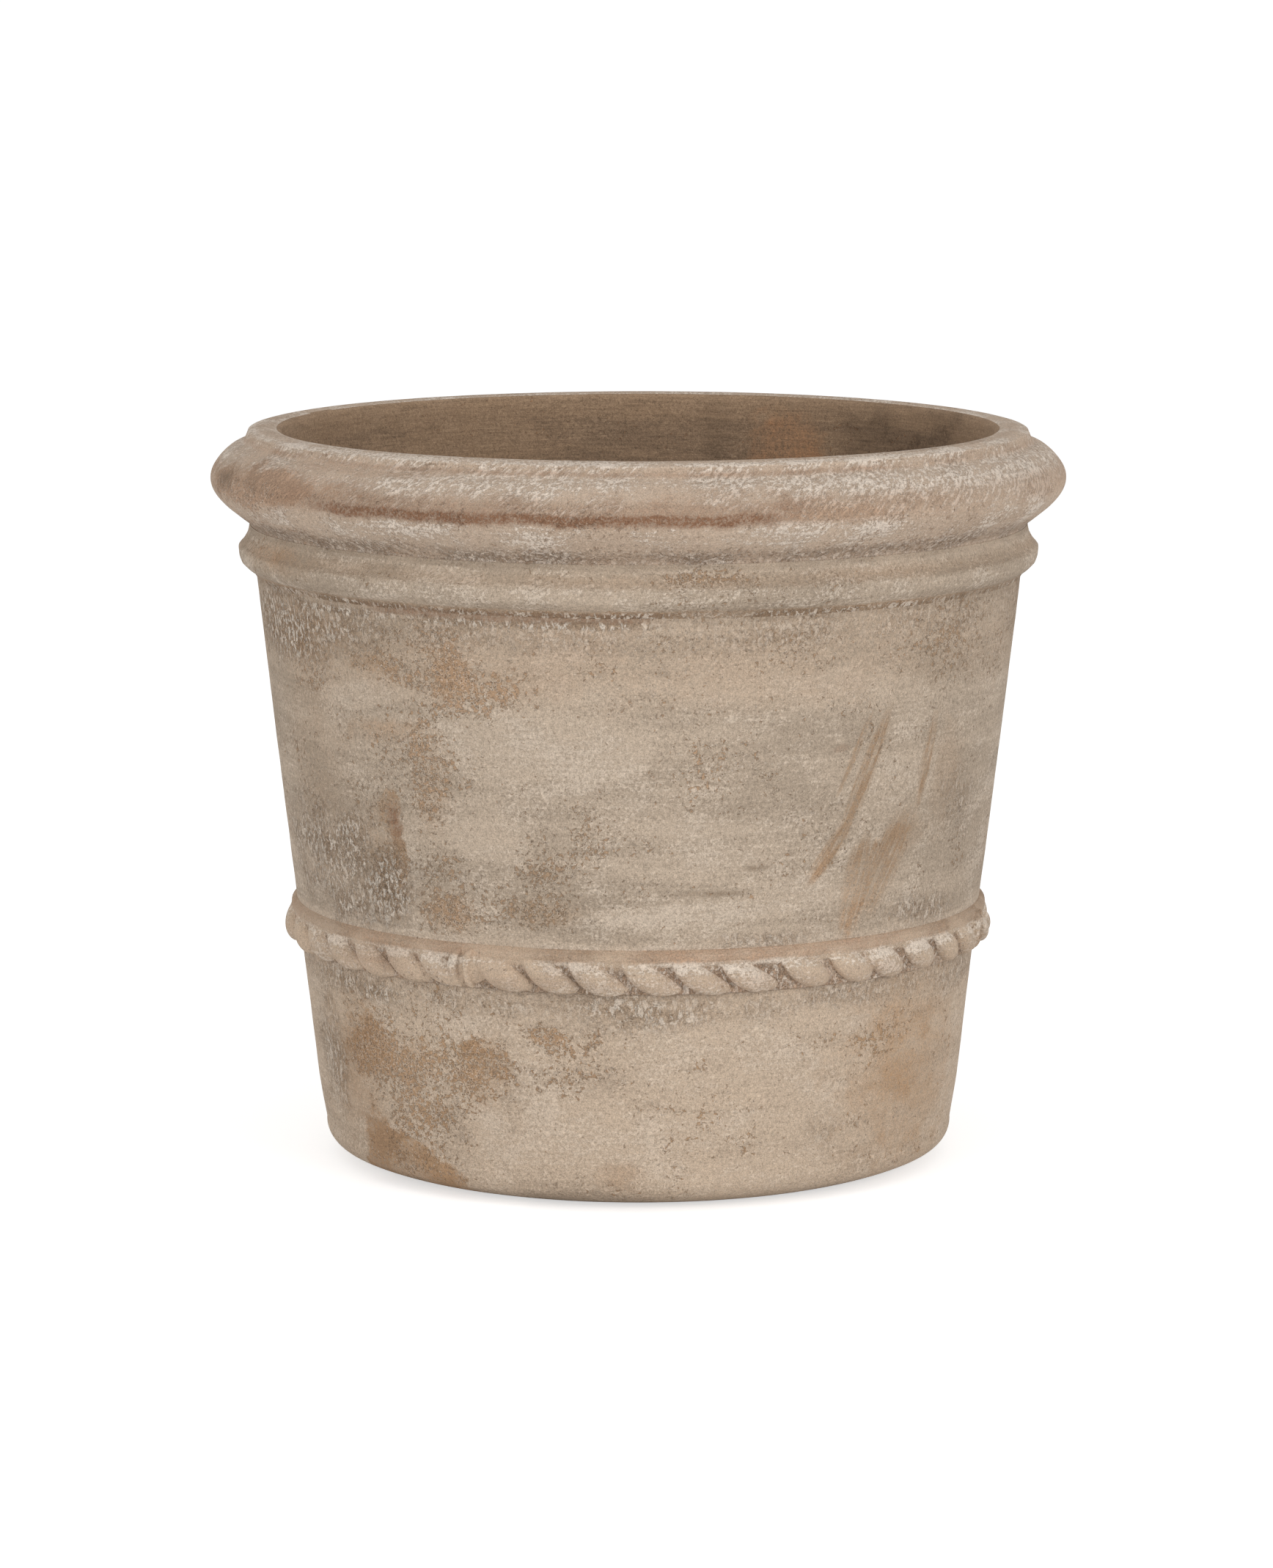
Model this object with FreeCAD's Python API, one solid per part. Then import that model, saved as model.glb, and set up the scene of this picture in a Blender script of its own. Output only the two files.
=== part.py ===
import FreeCAD, Part
import math
import os

# A pithos-shaped garden planter of fired clay, in millimetres. It is one fired body, and its pieces are those
# that the potter joined with slip: a floor slab, two lengths of wall, a rolled rim, a collar moulding under it,
# and a rope band laid on in strips. The origin is the centre of the underside, +Z is up, and the
# photographed side faces -Y.

# Overall sizes
pot_height = 430.0           # ground to the crown of the lip
rim_diameter = 500.0         # over the widest point of the roll
foot_diameter = 366.2        # the wall's straight outer cone, carried down to the ground
resting_diameter = 308.0     # the flat of the underside

# Clay thickness, measured level
neck_thickness = 25.3        # wall, just below the rim
foot_thickness = 20.2        # wall, at the ground
floor_thickness = 21.0
drain_diameter = 35.0

# Foot
tuck_height = 26.0           # stretch above the floor slab in which the wall draws in
tuck_depth = 1.4             # how far it has drawn in where it meets the slab
bevel_rise = 7.0             # from the flat of the underside up to the slab's rounded edge
bevel_width = 22.5

# Rim
rim_height = 57.0            # cove under the roll, up to the crown of the lip
roll_overhang = 23.5         # widest point of the roll, past the wall's neck
roll_radius = 18.5
roll_drop = 30.5             # crown of the lip, down to the roll's centre
roll_start_angle = 74.0      # degrees above level, where the roll leaves the notch under the lip
roll_end_angle = -60.0       # degrees, where the roll turns in towards the cove
lip_width = 20.4             # inner edge of the lip to its outer corner
lip_crown = 3.3              # rise of the lip's middle over its edges
notch_width = 4.4            # outer corner of the lip to the notch that parts it from the roll
notch_drop = 8.5             # crown down to the notch

# Collar moulding, laid on the wall below the roll
collar_height = 32.0
collar_stand_out = 8.3       # past the wall

# Rope band, pressed in a mould and laid on in strips
rope_level = 140.9           # ground to the middle of the band
rope_height = 26.0
strip_count = 7
lobes_per_strip = 6
first_seam_angle = -28.2     # degrees from the front, towards +X
seam_width = 11.0            # extra room between the lobes on both sides of a seam
backing_stand_out = 4.6      # the strip's flat, past the wall
margin_width = 5.0           # slope along the strip's upper edge
hem_width = 2.6              # slope along its lower edge
lobe_length = 34.6
lobe_width = 11.3
lobe_stand_out = 9.0         # crest of a lobe, past the wall
lobe_tip_width = 2.4         # blunt tip of a lobe
lobe_slant = 26.0            # degrees below level, towards +X at the front
lobe_drop = 1.8              # middle of the band, down to the middle of the lobes

# How far a cutting solid runs past what it cuts
overrun = 6.0

# Shapes of the mouldings, as shares of the sizes that they follow
tuck_middle_share = 0.45           # of the tuck's depth, halfway up it
edge_middle_shares = (0.80, 0.42)  # the slab's rounded edge: across it, and up it
collar_cove_shares = (0.24, 0.22)  # a point in the cove: out past the wall, and down from the neck
collar_brow_shares = (0.98, 0.41)  # where the cove ends in an edge
collar_nose_shares = (1.00, 0.54)  # the widest point, below which the moulding turns under
collar_chin_shares = (0.76, 0.72)
collar_hem_shares = (0.20, 0.87)   # the last of the turn, just off the wall

# Worked out from the sizes above
full_turn = 360.0
rim_radius = rim_diameter / 2
foot_radius = foot_diameter / 2
resting_radius = resting_diameter / 2
drain_radius = drain_diameter / 2
neck_level = pot_height - rim_height
neck_radius = rim_radius - roll_overhang
collar_base = neck_level - collar_height
strip_angle = full_turn / strip_count


def wall_radius(level):
    """Outer radius of the wall's straight cone at a height above the ground."""
    return foot_radius + (neck_radius - foot_radius) * level / neck_level


def inner_radius(level):
    """Radius of the hollow at a height above the ground."""
    thickness = foot_thickness + (neck_thickness - foot_thickness) * level / neck_level
    return wall_radius(level) - thickness


def turned(start, runs, angle=full_turn):
    """Solid turned about the Z axis, from a closed outline of (radius, height) points.

    Each run goes on from the last point: one point is a straight line to it, and two points are an arc
    through the first to the second. The outline closes with a line back to its start.
    """
    edges = []
    here = FreeCAD.Vector(start[0], 0, start[1])
    for run in runs + [[start]]:
        places = [FreeCAD.Vector(radius, 0, level) for radius, level in run]
        if len(places) == 2:
            edges.append(Part.Arc(here, places[0], places[1]).toShape())
        else:
            edges.append(Part.LineSegment(here, places[0]).toShape())
        here = places[-1]
    face = Part.Face(Part.Wire(edges))
    return face.revolve(FreeCAD.Vector(0, 0, 0), FreeCAD.Vector(0, 0, 1), angle)


def floor_slab():
    """Round slab that the wall stands on, with the drain hole through its middle."""
    seat_radius = wall_radius(floor_thickness) - tuck_depth
    bevel_radius = resting_radius + bevel_width
    across_share, up_share = edge_middle_shares
    edge_middle = (
        bevel_radius + (seat_radius - bevel_radius) * across_share,
        bevel_rise + (floor_thickness - bevel_rise) * up_share,
    )
    return turned(
        (drain_radius, 0),
        [
            [(resting_radius, 0)],
            [(bevel_radius, bevel_rise)],
            [edge_middle, (seat_radius, floor_thickness)],
            [(drain_radius, floor_thickness)],
        ],
    )


def lower_wall():
    """Wall from the slab to the middle of the rope band, drawn in a little at its foot."""
    tuck_level = floor_thickness + tuck_height
    tuck_middle_level = (floor_thickness + tuck_level) / 2
    tuck_middle_radius = wall_radius(tuck_middle_level) - tuck_depth * tuck_middle_share
    return turned(
        (inner_radius(floor_thickness), floor_thickness),
        [
            [(wall_radius(floor_thickness) - tuck_depth, floor_thickness)],
            [(tuck_middle_radius, tuck_middle_level), (wall_radius(tuck_level), tuck_level)],
            [(wall_radius(rope_level), rope_level)],
            [(inner_radius(rope_level), rope_level)],
        ],
    )


def upper_wall():
    """Wall from the middle of the rope band up to the rim's seat."""
    return turned(
        (inner_radius(rope_level), rope_level),
        [
            [(wall_radius(rope_level), rope_level)],
            [(neck_radius, neck_level)],
            [(inner_radius(neck_level), neck_level)],
        ],
    )


def rim_roll():
    """Rolled rim: a crowned lip, a fine notch outside it, and the heavy roll that overhangs the neck."""
    lip_level = pot_height - lip_crown
    lip_inner_radius = inner_radius(lip_level)
    lip_outer_radius = lip_inner_radius + lip_width
    crown_radius = (lip_inner_radius + lip_outer_radius) / 2
    roll_centre_radius = rim_radius - roll_radius
    roll_centre_level = pot_height - roll_drop

    def on_roll(degrees):
        angle = math.radians(degrees)
        return (
            roll_centre_radius + roll_radius * math.cos(angle),
            roll_centre_level + roll_radius * math.sin(angle),
        )

    return turned(
        (inner_radius(neck_level), neck_level),
        [
            [(neck_radius, neck_level)],
            [on_roll(roll_end_angle)],
            [on_roll(0), on_roll(roll_start_angle)],
            [(lip_outer_radius + notch_width, pot_height - notch_drop)],
            [(lip_outer_radius, lip_level)],
            [(crown_radius, pot_height), (lip_inner_radius, lip_level)],
        ],
    )


def collar_moulding():
    """Moulded ring on the outside of the wall: a cove, an edge, and a nose that turns under."""

    def on_collar(shares):
        out_share, down_share = shares
        level = neck_level - collar_height * down_share
        return (wall_radius(level) + collar_stand_out * out_share, level)

    return turned(
        (neck_radius, neck_level),
        [
            [on_collar(collar_cove_shares), on_collar(collar_brow_shares)],
            [on_collar(collar_nose_shares)],
            [on_collar(collar_chin_shares), on_collar(collar_hem_shares)],
            [(wall_radius(collar_base), collar_base)],
        ],
    )


def rope_lobe(angle):
    """One slanted spindle of the rope, at an angle in degrees from the strip's end."""
    tip_radius = lobe_tip_width / 2
    half_length = lobe_length / 2
    start = FreeCAD.Vector(0, -half_length, 0)
    end = FreeCAD.Vector(0, half_length, 0)
    start_edge = FreeCAD.Vector(tip_radius, -half_length, 0)
    end_edge = FreeCAD.Vector(tip_radius, half_length, 0)
    belly = FreeCAD.Vector(lobe_width / 2, 0, 0)
    edges = [
        Part.LineSegment(start, start_edge).toShape(),
        Part.Arc(start_edge, belly, end_edge).toShape(),
        Part.LineSegment(end_edge, end).toShape(),
        Part.LineSegment(end, start).toShape(),
    ]
    outline = Part.Face(Part.Wire(edges))
    lobe = outline.revolve(FreeCAD.Vector(0, 0, 0), FreeCAD.Vector(0, 1, 0), full_turn)
    lobe.rotate(FreeCAD.Vector(0, 0, 0), FreeCAD.Vector(1, 0, 0), -lobe_slant)
    level = rope_level - lobe_drop
    lobe.translate(FreeCAD.Vector(wall_radius(level) + lobe_stand_out - lobe_width / 2, 0, level))
    lobe.rotate(FreeCAD.Vector(0, 0, 0), FreeCAD.Vector(0, 0, 1), angle)
    return lobe


def strip_room():
    """The space that one strip may fill: outside the wall, from one seam to the next."""
    top = rope_level + rope_height
    bottom = rope_level - rope_height
    reach = lobe_stand_out + overrun
    return turned(
        (wall_radius(bottom), bottom),
        [
            [(wall_radius(bottom) + reach, bottom)],
            [(wall_radius(top) + reach, top)],
            [(wall_radius(top), top)],
        ],
        strip_angle,
    )


def rope_strip():
    """One strip of the rope, starting at angle 0: a flat backing that carries the slanted lobes."""
    top = rope_level + rope_height / 2
    bottom = rope_level - rope_height / 2
    shoulder = top - margin_width
    hem = bottom + hem_width
    backing = turned(
        (wall_radius(bottom) - overrun, bottom),
        [
            [(wall_radius(bottom), bottom)],
            [(wall_radius(hem) + backing_stand_out, hem)],
            [(wall_radius(shoulder) + backing_stand_out, shoulder)],
            [(wall_radius(top), top)],
            [(wall_radius(top) - overrun, top)],
        ],
        strip_angle,
    )
    seam_angle = math.degrees(seam_width / wall_radius(rope_level))
    lobe_pitch = (strip_angle - seam_angle) / lobes_per_strip
    first_angle = (seam_angle + lobe_pitch) / 2
    lobes = [rope_lobe(first_angle + lobe_pitch * index) for index in range(lobes_per_strip)]
    return backing.fuse(lobes).common(strip_room()).removeSplitter()


def write_piece(name, shape):
    """Writes a piece's solids to its own file."""
    shape.exportStep("parts/" + name + ".step")


def main():
    os.makedirs("parts", exist_ok=True)
    write_piece("floor_slab", floor_slab())
    write_piece("lower_wall", lower_wall())
    write_piece("upper_wall", upper_wall())
    write_piece("rim_roll", rim_roll())
    write_piece("collar_moulding", collar_moulding())
    # The front of the pot is a quarter turn behind +X.
    front_angle = -full_turn / 4
    strip = rope_strip()
    for index in range(strip_count):
        placed = strip.copy()
        angle = front_angle + first_seam_angle + strip_angle * index
        placed.rotate(FreeCAD.Vector(0, 0, 0), FreeCAD.Vector(0, 0, 1), angle)
        write_piece(f"rope_strip_{index + 1}", placed)


main()
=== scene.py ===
"""A limewashed terracotta planter of pithos shape, with a rolled rim, a collar and a rope band.

Lengths are in metres. The pot stands at the origin with +Z up, and the photographed side faces -Y. Angles
round the pot are in degrees from the front, growing towards +X.
"""

import logging
import math
import random
from dataclasses import dataclass, replace
from enum import Enum

import bpy
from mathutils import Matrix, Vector, noise

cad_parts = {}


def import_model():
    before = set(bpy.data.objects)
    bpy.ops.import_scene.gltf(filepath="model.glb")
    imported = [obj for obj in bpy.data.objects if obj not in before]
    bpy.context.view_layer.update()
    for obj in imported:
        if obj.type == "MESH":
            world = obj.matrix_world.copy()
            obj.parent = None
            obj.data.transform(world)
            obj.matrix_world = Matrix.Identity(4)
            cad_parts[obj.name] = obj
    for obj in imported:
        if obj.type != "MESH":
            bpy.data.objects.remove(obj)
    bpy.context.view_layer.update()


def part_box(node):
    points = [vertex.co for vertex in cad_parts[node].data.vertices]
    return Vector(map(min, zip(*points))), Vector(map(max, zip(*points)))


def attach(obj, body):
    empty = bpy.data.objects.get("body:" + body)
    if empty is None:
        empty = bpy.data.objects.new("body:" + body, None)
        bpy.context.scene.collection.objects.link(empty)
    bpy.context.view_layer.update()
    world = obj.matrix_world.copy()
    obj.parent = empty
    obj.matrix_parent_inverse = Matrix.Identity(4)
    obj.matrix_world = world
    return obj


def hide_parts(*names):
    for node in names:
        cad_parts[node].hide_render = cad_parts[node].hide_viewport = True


LOG = logging.getLogger("planter")
BODY = "root"
TAU = 2 * math.pi
STRIP_COUNT = 7
CREASE = "Crease"
MERGE_DISTANCE = 0.00001
SEED_SIZE = 0.001
# Degrees to each side of a band's end over which it fades
BAND_FADE = 4.0
# Range over which noise moves a band's edges, in times its softness
BAND_WANDER = 4.0
# Where nodes lie on a board: from column to column, from row to row, and rows in a column
NODE_COLUMN = 220
NODE_ROW = 180
NODES_IN_COLUMN = 6

Colour = tuple[float, float, float, float]
Point = tuple[float, float]
Socket = bpy.types.NodeSocket
WHITE: Colour = (1.0, 1.0, 1.0, 1.0)


class Effect(Enum):
    """What a patch or band does to the limewashed clay."""

    BARE = "Bare"
    TINT = "Tint"
    CREAM = "Cream"
    # Grime darkens with the grime tone: dirt in some places, and painted shade in creases, under the roll
    # and inside the pot in others
    GRIME = "Grime"
    CRUST = "Crust"
    RUST = "Rust"
    STROKES = "Strokes"


@dataclass(frozen=True)
class Patch:
    """A stained, worn or crusted place on the pot."""

    effect: Effect
    angle: float
    level: float
    half_angle: float
    half_height: float
    tilt: float = 0.0
    strength: float = 1.0
    softness: float = 0.6
    ragged: float = 0.9
    scraped: bool = False


@dataclass(frozen=True)
class Band:
    """A stained or crusted line that runs round the pot between two heights."""

    effect: Effect
    low: float
    high: float
    strength: float = 1.0
    softness: float = 0.002
    start_angle: float = -180.0
    end_angle: float = 180.0


@dataclass(frozen=True)
class PotSizes:
    """The pot's main sizes, read from the boxes of the frame's nodes."""

    height: float
    rim_radius: float
    neck_level: float
    neck_radius: float
    joint_level: float
    joint_radius: float
    slab_top: float
    collar_base: float
    rope_low: float
    rope_high: float
    neck_thickness: float = 0.0253
    foot_thickness: float = 0.0202
    drain_radius: float = 0.0175
    resting_radius: float = 0.154

    @classmethod
    def from_frame(cls) -> "PotSizes":
        """Reads the sizes from the frame.

        Returns:
            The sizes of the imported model.
        """
        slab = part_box("floor_slab")
        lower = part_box("lower_wall")
        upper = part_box("upper_wall")
        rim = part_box("rim_roll")
        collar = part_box("collar_moulding")
        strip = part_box("rope_strip_1")
        return cls(
            height=rim[1][2],
            rim_radius=rim[1][0],
            neck_level=rim[0][2],
            neck_radius=upper[1][0],
            joint_level=lower[1][2],
            joint_radius=lower[1][0],
            slab_top=slab[1][2],
            collar_base=collar[0][2],
            rope_low=strip[0][2],
            rope_high=strip[1][2],
        )

    @property
    def slope(self) -> float:
        """How much the wall's radius grows per unit of height."""
        return (self.neck_radius - self.joint_radius) / (self.neck_level - self.joint_level)

    @property
    def ground_radius(self) -> float:
        """Radius of the wall's outer cone carried down to the ground."""
        return self.neck_radius - self.slope * self.neck_level

    def wall_radius(self, level: float) -> float:
        """Outer radius of the wall's cone at a height."""
        return self.ground_radius + self.slope * level

    def inner_radius(self, level: float) -> float:
        """Radius of the hollow at a height."""
        growth = (self.neck_thickness - self.foot_thickness) * (level / self.neck_level)
        return self.wall_radius(level) - (self.foot_thickness + growth)


class Outline:
    """A closed outline of (radius, height) points, evenly spaced along lines and arcs."""

    def __init__(self, radius: float, level: float) -> None:
        """Starts the outline at a point."""
        self.points: list[Point] = [(radius, level)]

    def line_to(self, radius: float, level: float, step: float) -> None:
        """Runs straight to a point.

        Args:
            radius: Radius of the end.
            level: Height of the end.
            step: Longest distance between points.
        """
        start_radius, start_level = self.points[-1]
        length = math.hypot(radius - start_radius, level - start_level)
        count = max(1, math.ceil(length / step))
        for index in range(1, count + 1):
            share = index / count
            self.points.append(
                (start_radius + (radius - start_radius) * share, start_level + (level - start_level) * share)
            )

    def curve_through(self, points: tuple[Point, ...], step: float) -> None:
        """Runs smoothly through several points.

        Args:
            points: The points, in order.
            step: Longest distance between the outline's points.
        """
        knots = [Vector(self.points[-1])] + [Vector(point) for point in points]
        slopes = []
        for index in range(len(knots)):
            before = knots[max(0, index - 1)]
            after = knots[min(len(knots) - 1, index + 1)]
            slopes.append((after - before).normalized())
        for index in range(len(knots) - 1):
            here, there = knots[index], knots[index + 1]
            length = (there - here).length
            count = max(1, math.ceil(length / step))
            for part in range(1, count + 1):
                share = part / count
                square, cube = share**2, share**3
                place = here * (2 * cube - 3 * square + 1) + there * (3 * square - 2 * cube)
                place += slopes[index] * length * (cube - 2 * square + share)
                place += slopes[index + 1] * length * (cube - square)
                self.points.append((place.x, place.y))

    def arc_to(self, through: Point, end: Point, step: float) -> None:
        """Runs along an arc through one point to another.

        Args:
            through: A point on the arc.
            end: The arc's end.
            step: Longest distance between points.
        """
        (ax, ay), (bx, by), (cx, cy) = self.points[-1], through, end
        cross = 2 * (ax * (by - cy) + bx * (cy - ay) + cx * (ay - by))
        a_square, b_square, c_square = ax * ax + ay * ay, bx * bx + by * by, cx * cx + cy * cy
        middle_x = (a_square * (by - cy) + b_square * (cy - ay) + c_square * (ay - by)) / cross
        middle_y = (a_square * (cx - bx) + b_square * (ax - cx) + c_square * (bx - ax)) / cross
        radius = math.hypot(ax - middle_x, ay - middle_y)
        first = math.atan2(ay - middle_y, ax - middle_x)
        last = math.atan2(cy - middle_y, cx - middle_x)
        way = math.atan2(by - middle_y, bx - middle_x)
        sweep = (last - first) % TAU
        if (way - first) % TAU > sweep:
            sweep -= TAU
        count = max(2, math.ceil(abs(sweep) * radius / step))
        for index in range(1, count + 1):
            angle = first + sweep * index / count
            self.points.append((middle_x + radius * math.cos(angle), middle_y + radius * math.sin(angle)))


def start_fresh() -> None:
    """Leaves edit mode and deselects everything, so that the next operator acts on its own piece."""
    if bpy.context.object and bpy.context.object.mode != "OBJECT":
        bpy.ops.object.mode_set(mode="OBJECT")
    bpy.ops.object.select_all(action="DESELECT")


def start_point(place: tuple[float, float, float]) -> bpy.types.Object:
    """Adds a piece that is a single point, and stays in edit mode with it selected.

    Args:
        place: Where the point lies.

    Returns:
        The new piece.
    """
    start_fresh()
    bpy.ops.mesh.primitive_plane_add(size=SEED_SIZE, location=(0, 0, 0))
    bpy.ops.object.mode_set(mode="EDIT")
    bpy.ops.mesh.select_all(action="SELECT")
    bpy.ops.mesh.merge(type="CENTER")
    bpy.ops.transform.translate(value=place)
    return bpy.context.active_object


def turn_piece(name: str, outline: Outline, segments: int) -> bpy.types.Object:
    """Turns a closed outline about the Z axis, as on a wheel.

    Args:
        name: Name of the new piece.
        outline: The outline to turn.
        segments: Number of faces round the piece.

    Returns:
        The turned piece, at the origin.
    """
    piece = start_point((outline.points[0][0], 0, outline.points[0][1]))
    piece.name = name
    piece.data.name = name
    for here, there in zip(outline.points, outline.points[1:]):
        move = (there[0] - here[0], 0, there[1] - here[1])
        bpy.ops.mesh.extrude_region_move(TRANSFORM_OT_translate={"value": move})
    bpy.ops.mesh.select_all(action="SELECT")
    bpy.ops.mesh.remove_doubles(threshold=MERGE_DISTANCE)
    bpy.ops.object.mode_set(mode="OBJECT")
    turning = piece.modifiers.new("turning", "SCREW")
    turning.axis = "Z"
    turning.angle = TAU
    turning.steps = segments
    turning.render_steps = segments
    turning.use_merge_vertices = True
    turning.merge_threshold = MERGE_DISTANCE
    bpy.ops.object.modifier_apply(modifier=turning.name)
    bpy.ops.object.mode_set(mode="EDIT")
    bpy.ops.mesh.select_all(action="SELECT")
    bpy.ops.mesh.remove_doubles(threshold=MERGE_DISTANCE)
    bpy.ops.mesh.normals_make_consistent(inside=False)
    bpy.ops.object.mode_set(mode="OBJECT")
    return piece


def shade_softly(piece: bpy.types.Object, degrees: float) -> None:
    """Shades a piece smooth, with creases where its faces meet at more than an angle.

    Args:
        piece: The piece to shade.
        degrees: The angle.
    """
    start_fresh()
    piece.select_set(True)
    bpy.context.view_layer.objects.active = piece
    bpy.ops.object.shade_smooth_by_angle(angle=math.radians(degrees))


@dataclass(frozen=True)
class HandWork:
    """How unevenly the potter's hands left the turned clay."""

    wide_scale: float = 5.0
    wide_depth: float = 0.0007
    close_scale: float = 22.0
    close_depth: float = 0.00025
    ring_scale: float = 70.0
    ring_depth: float = 0.00012
    lip_scale: float = 6.0
    lip_depth: float = 0.0007
    lip_reach: float = 0.02
    least_radius: float = 0.02

    def press(self, piece: bpy.types.Object, lip_level: float) -> None:
        """Moves a turned piece's surface in and out a little, and the lip up and down.

        The same places move alike on every piece, so that pieces still meet.

        Args:
            piece: The piece to press.
            lip_level: Height above which the surface also rises and falls.
        """
        for vertex in piece.data.vertices:
            place = vertex.co
            radius = math.hypot(place.x, place.y)
            rings = Vector((place.x, place.y, place.z * self.ring_scale / self.wide_scale))
            push = self.wide_depth * noise.noise(place * self.wide_scale)
            push += self.close_depth * noise.noise(place * self.close_scale)
            push += self.ring_depth * noise.noise(rings * self.wide_scale)
            factor = 1 + push / max(radius, self.least_radius)
            rise = 0.0
            if place.z > lip_level:
                around = Vector((place.x, place.y, 0)) * self.lip_scale
                rise = self.lip_depth * noise.noise(around) * (place.z - lip_level) / self.lip_reach
            vertex.co = (place.x * factor, place.y * factor, place.z + rise)


class Board:
    """A node tree, with a short call for each kind of node that the finishes use."""

    def __init__(self, tree: bpy.types.NodeTree) -> None:
        """Works on a node tree."""
        self.tree = tree

    def node(
        self, kind: str, inputs: dict[object, object] | None = None, **settings: object
    ) -> bpy.types.Node:
        """Adds a node.

        Args:
            kind: The kind of node.
            inputs: What goes into its sockets, by their names or numbers.
            settings: The node's own properties, which are set first.

        Returns:
            The new node.
        """
        made = self.tree.nodes.new(kind)
        for key, value in settings.items():
            setattr(made, key, value)
        self.feed(made, inputs or {})
        column, row = divmod(len(self.tree.nodes), NODES_IN_COLUMN)
        made.location = (NODE_COLUMN * column, -NODE_ROW * row)
        return made

    def feed(self, node: bpy.types.Node, inputs: dict[object, object]) -> None:
        """Links outputs to a node's sockets, or sets the sockets to plain values.

        Args:
            node: The node to feed.
            inputs: What goes into its sockets, by their names or numbers.
        """
        for key, value in inputs.items():
            if isinstance(value, Socket):
                self.tree.links.new(value, node.inputs[key])
            elif value is not None:
                node.inputs[key].default_value = value

    def noise(
        self, place: object, scale: float, detail: float, roughness: float, distortion: float = 0.0
    ) -> Socket:
        """Soft fractal noise.

        Args:
            place: Where it is read.
            scale: Repeats per metre.
            detail: How many finer layers it has.
            roughness: How strong the finer layers are.
            distortion: How much it swirls.

        Returns:
            The noise, from 0 to 1.
        """
        values = {"Vector": place, "Scale": scale, "Detail": detail}
        values |= {"Roughness": roughness, "Distortion": distortion}
        return self.node("ShaderNodeTexNoise", values).outputs["Fac"]

    def cells(self, place: object, scale: float) -> tuple[Socket, Socket]:
        """Scattered cells.

        Args:
            place: Where they are read.
            scale: Cells per metre.

        Returns:
            The distance from each cell's middle, and a random value for each.
        """
        made = self.node("ShaderNodeTexVoronoi", {"Vector": place, "Scale": scale})
        chance = self.node("ShaderNodeSeparateColor", {0: made.outputs["Color"]})
        return made.outputs["Distance"], chance.outputs[0]

    def twist(self, place: object, rate: float) -> Socket:
        """Turns a place about the pot's axis by its height.

        Args:
            place: The place to turn.
            rate: Radians per metre of height.

        Returns:
            The turned place.
        """
        height = self.node("ShaderNodeSeparateXYZ", {0: place}).outputs[2]
        values = {"Vector": place, "Angle": self.times(height, rate)}
        return self.node("ShaderNodeVectorRotate", values, rotation_type="Z_AXIS").outputs["Vector"]

    def calc(self, operation: str, first: object, second: object = None, third: object = None) -> Socket:
        """One step of arithmetic on one to three values."""
        return self.node("ShaderNodeMath", {0: first, 1: second, 2: third}, operation=operation).outputs[0]

    def times(self, first: object, second: object) -> Socket:
        """The product of two values."""
        return self.calc("MULTIPLY", first, second)

    def total(self, *values: object) -> Socket:
        """Adds values.

        Args:
            values: The values, in order.

        Returns:
            Their sum.
        """
        result = values[0]
        for value in values[1:]:
            result = self.calc("ADD", result, value)
        return result

    def weigh(self, *parts: tuple[object, float]) -> Socket:
        """The sum of several patterns, each taken about its middle of 0.5 and times its own weight."""
        return self.total(*(self.calc("MULTIPLY_ADD", part, weight, -weight / 2) for part, weight in parts))

    def ramp(
        self, value: object, low: object, high: object, start: object = 0.0, end: object = 1.0
    ) -> Socket:
        """A smooth step.

        Args:
            value: What the step follows.
            low: Where it begins.
            high: Where it ends.
            start: Its result up to low.
            end: Its result from high on.

        Returns:
            The step's result.
        """
        values = {"Value": value, "From Min": low, "From Max": high, "To Min": start, "To Max": end}
        return self.node("ShaderNodeMapRange", values, interpolation_type="SMOOTHSTEP").outputs["Result"]

    def mix(self, share: object, first: object, second: object, mode: str = "MIX") -> Socket:
        """Blends two colours.

        Args:
            share: How much of the second colour there is.
            first: The colour below.
            second: The colour on top.
            mode: How the second colour acts on the first.

        Returns:
            The blended colour.
        """
        values = {0: share, 6: first, 7: second}
        return self.node("ShaderNodeMix", values, data_type="RGBA", blend_type=mode).outputs[2]

    def stretch(self, place: object, scale: tuple[float, float, float]) -> Socket:
        """A place with each axis scaled."""
        return self.node("ShaderNodeMapping", {"Vector": place, "Scale": scale}).outputs["Vector"]


@dataclass(frozen=True)
class Pattern:
    """A noise pattern, read at a place whose axes are first scaled by its stretch."""

    scale: float
    detail: float
    roughness: float
    distortion: float = 0.0
    stretch: tuple[float, float, float] | None = None

    def read(self, board: Board, place: object) -> Socket:
        """Reads the pattern.

        Args:
            board: The nodes to read it with.
            place: Where it is read.

        Returns:
            The pattern, from 0 to 1.
        """
        where = board.stretch(place, self.stretch) if self.stretch else place
        return board.noise(where, self.scale, self.detail, self.roughness, self.distortion)


# Lines of a scraping tool, fine across the scrape and drawn out along it
SCRAPE_LINES = Pattern(1.0, 3.0, 0.6, stretch=(520.0, 26.0, 1.0))


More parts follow.
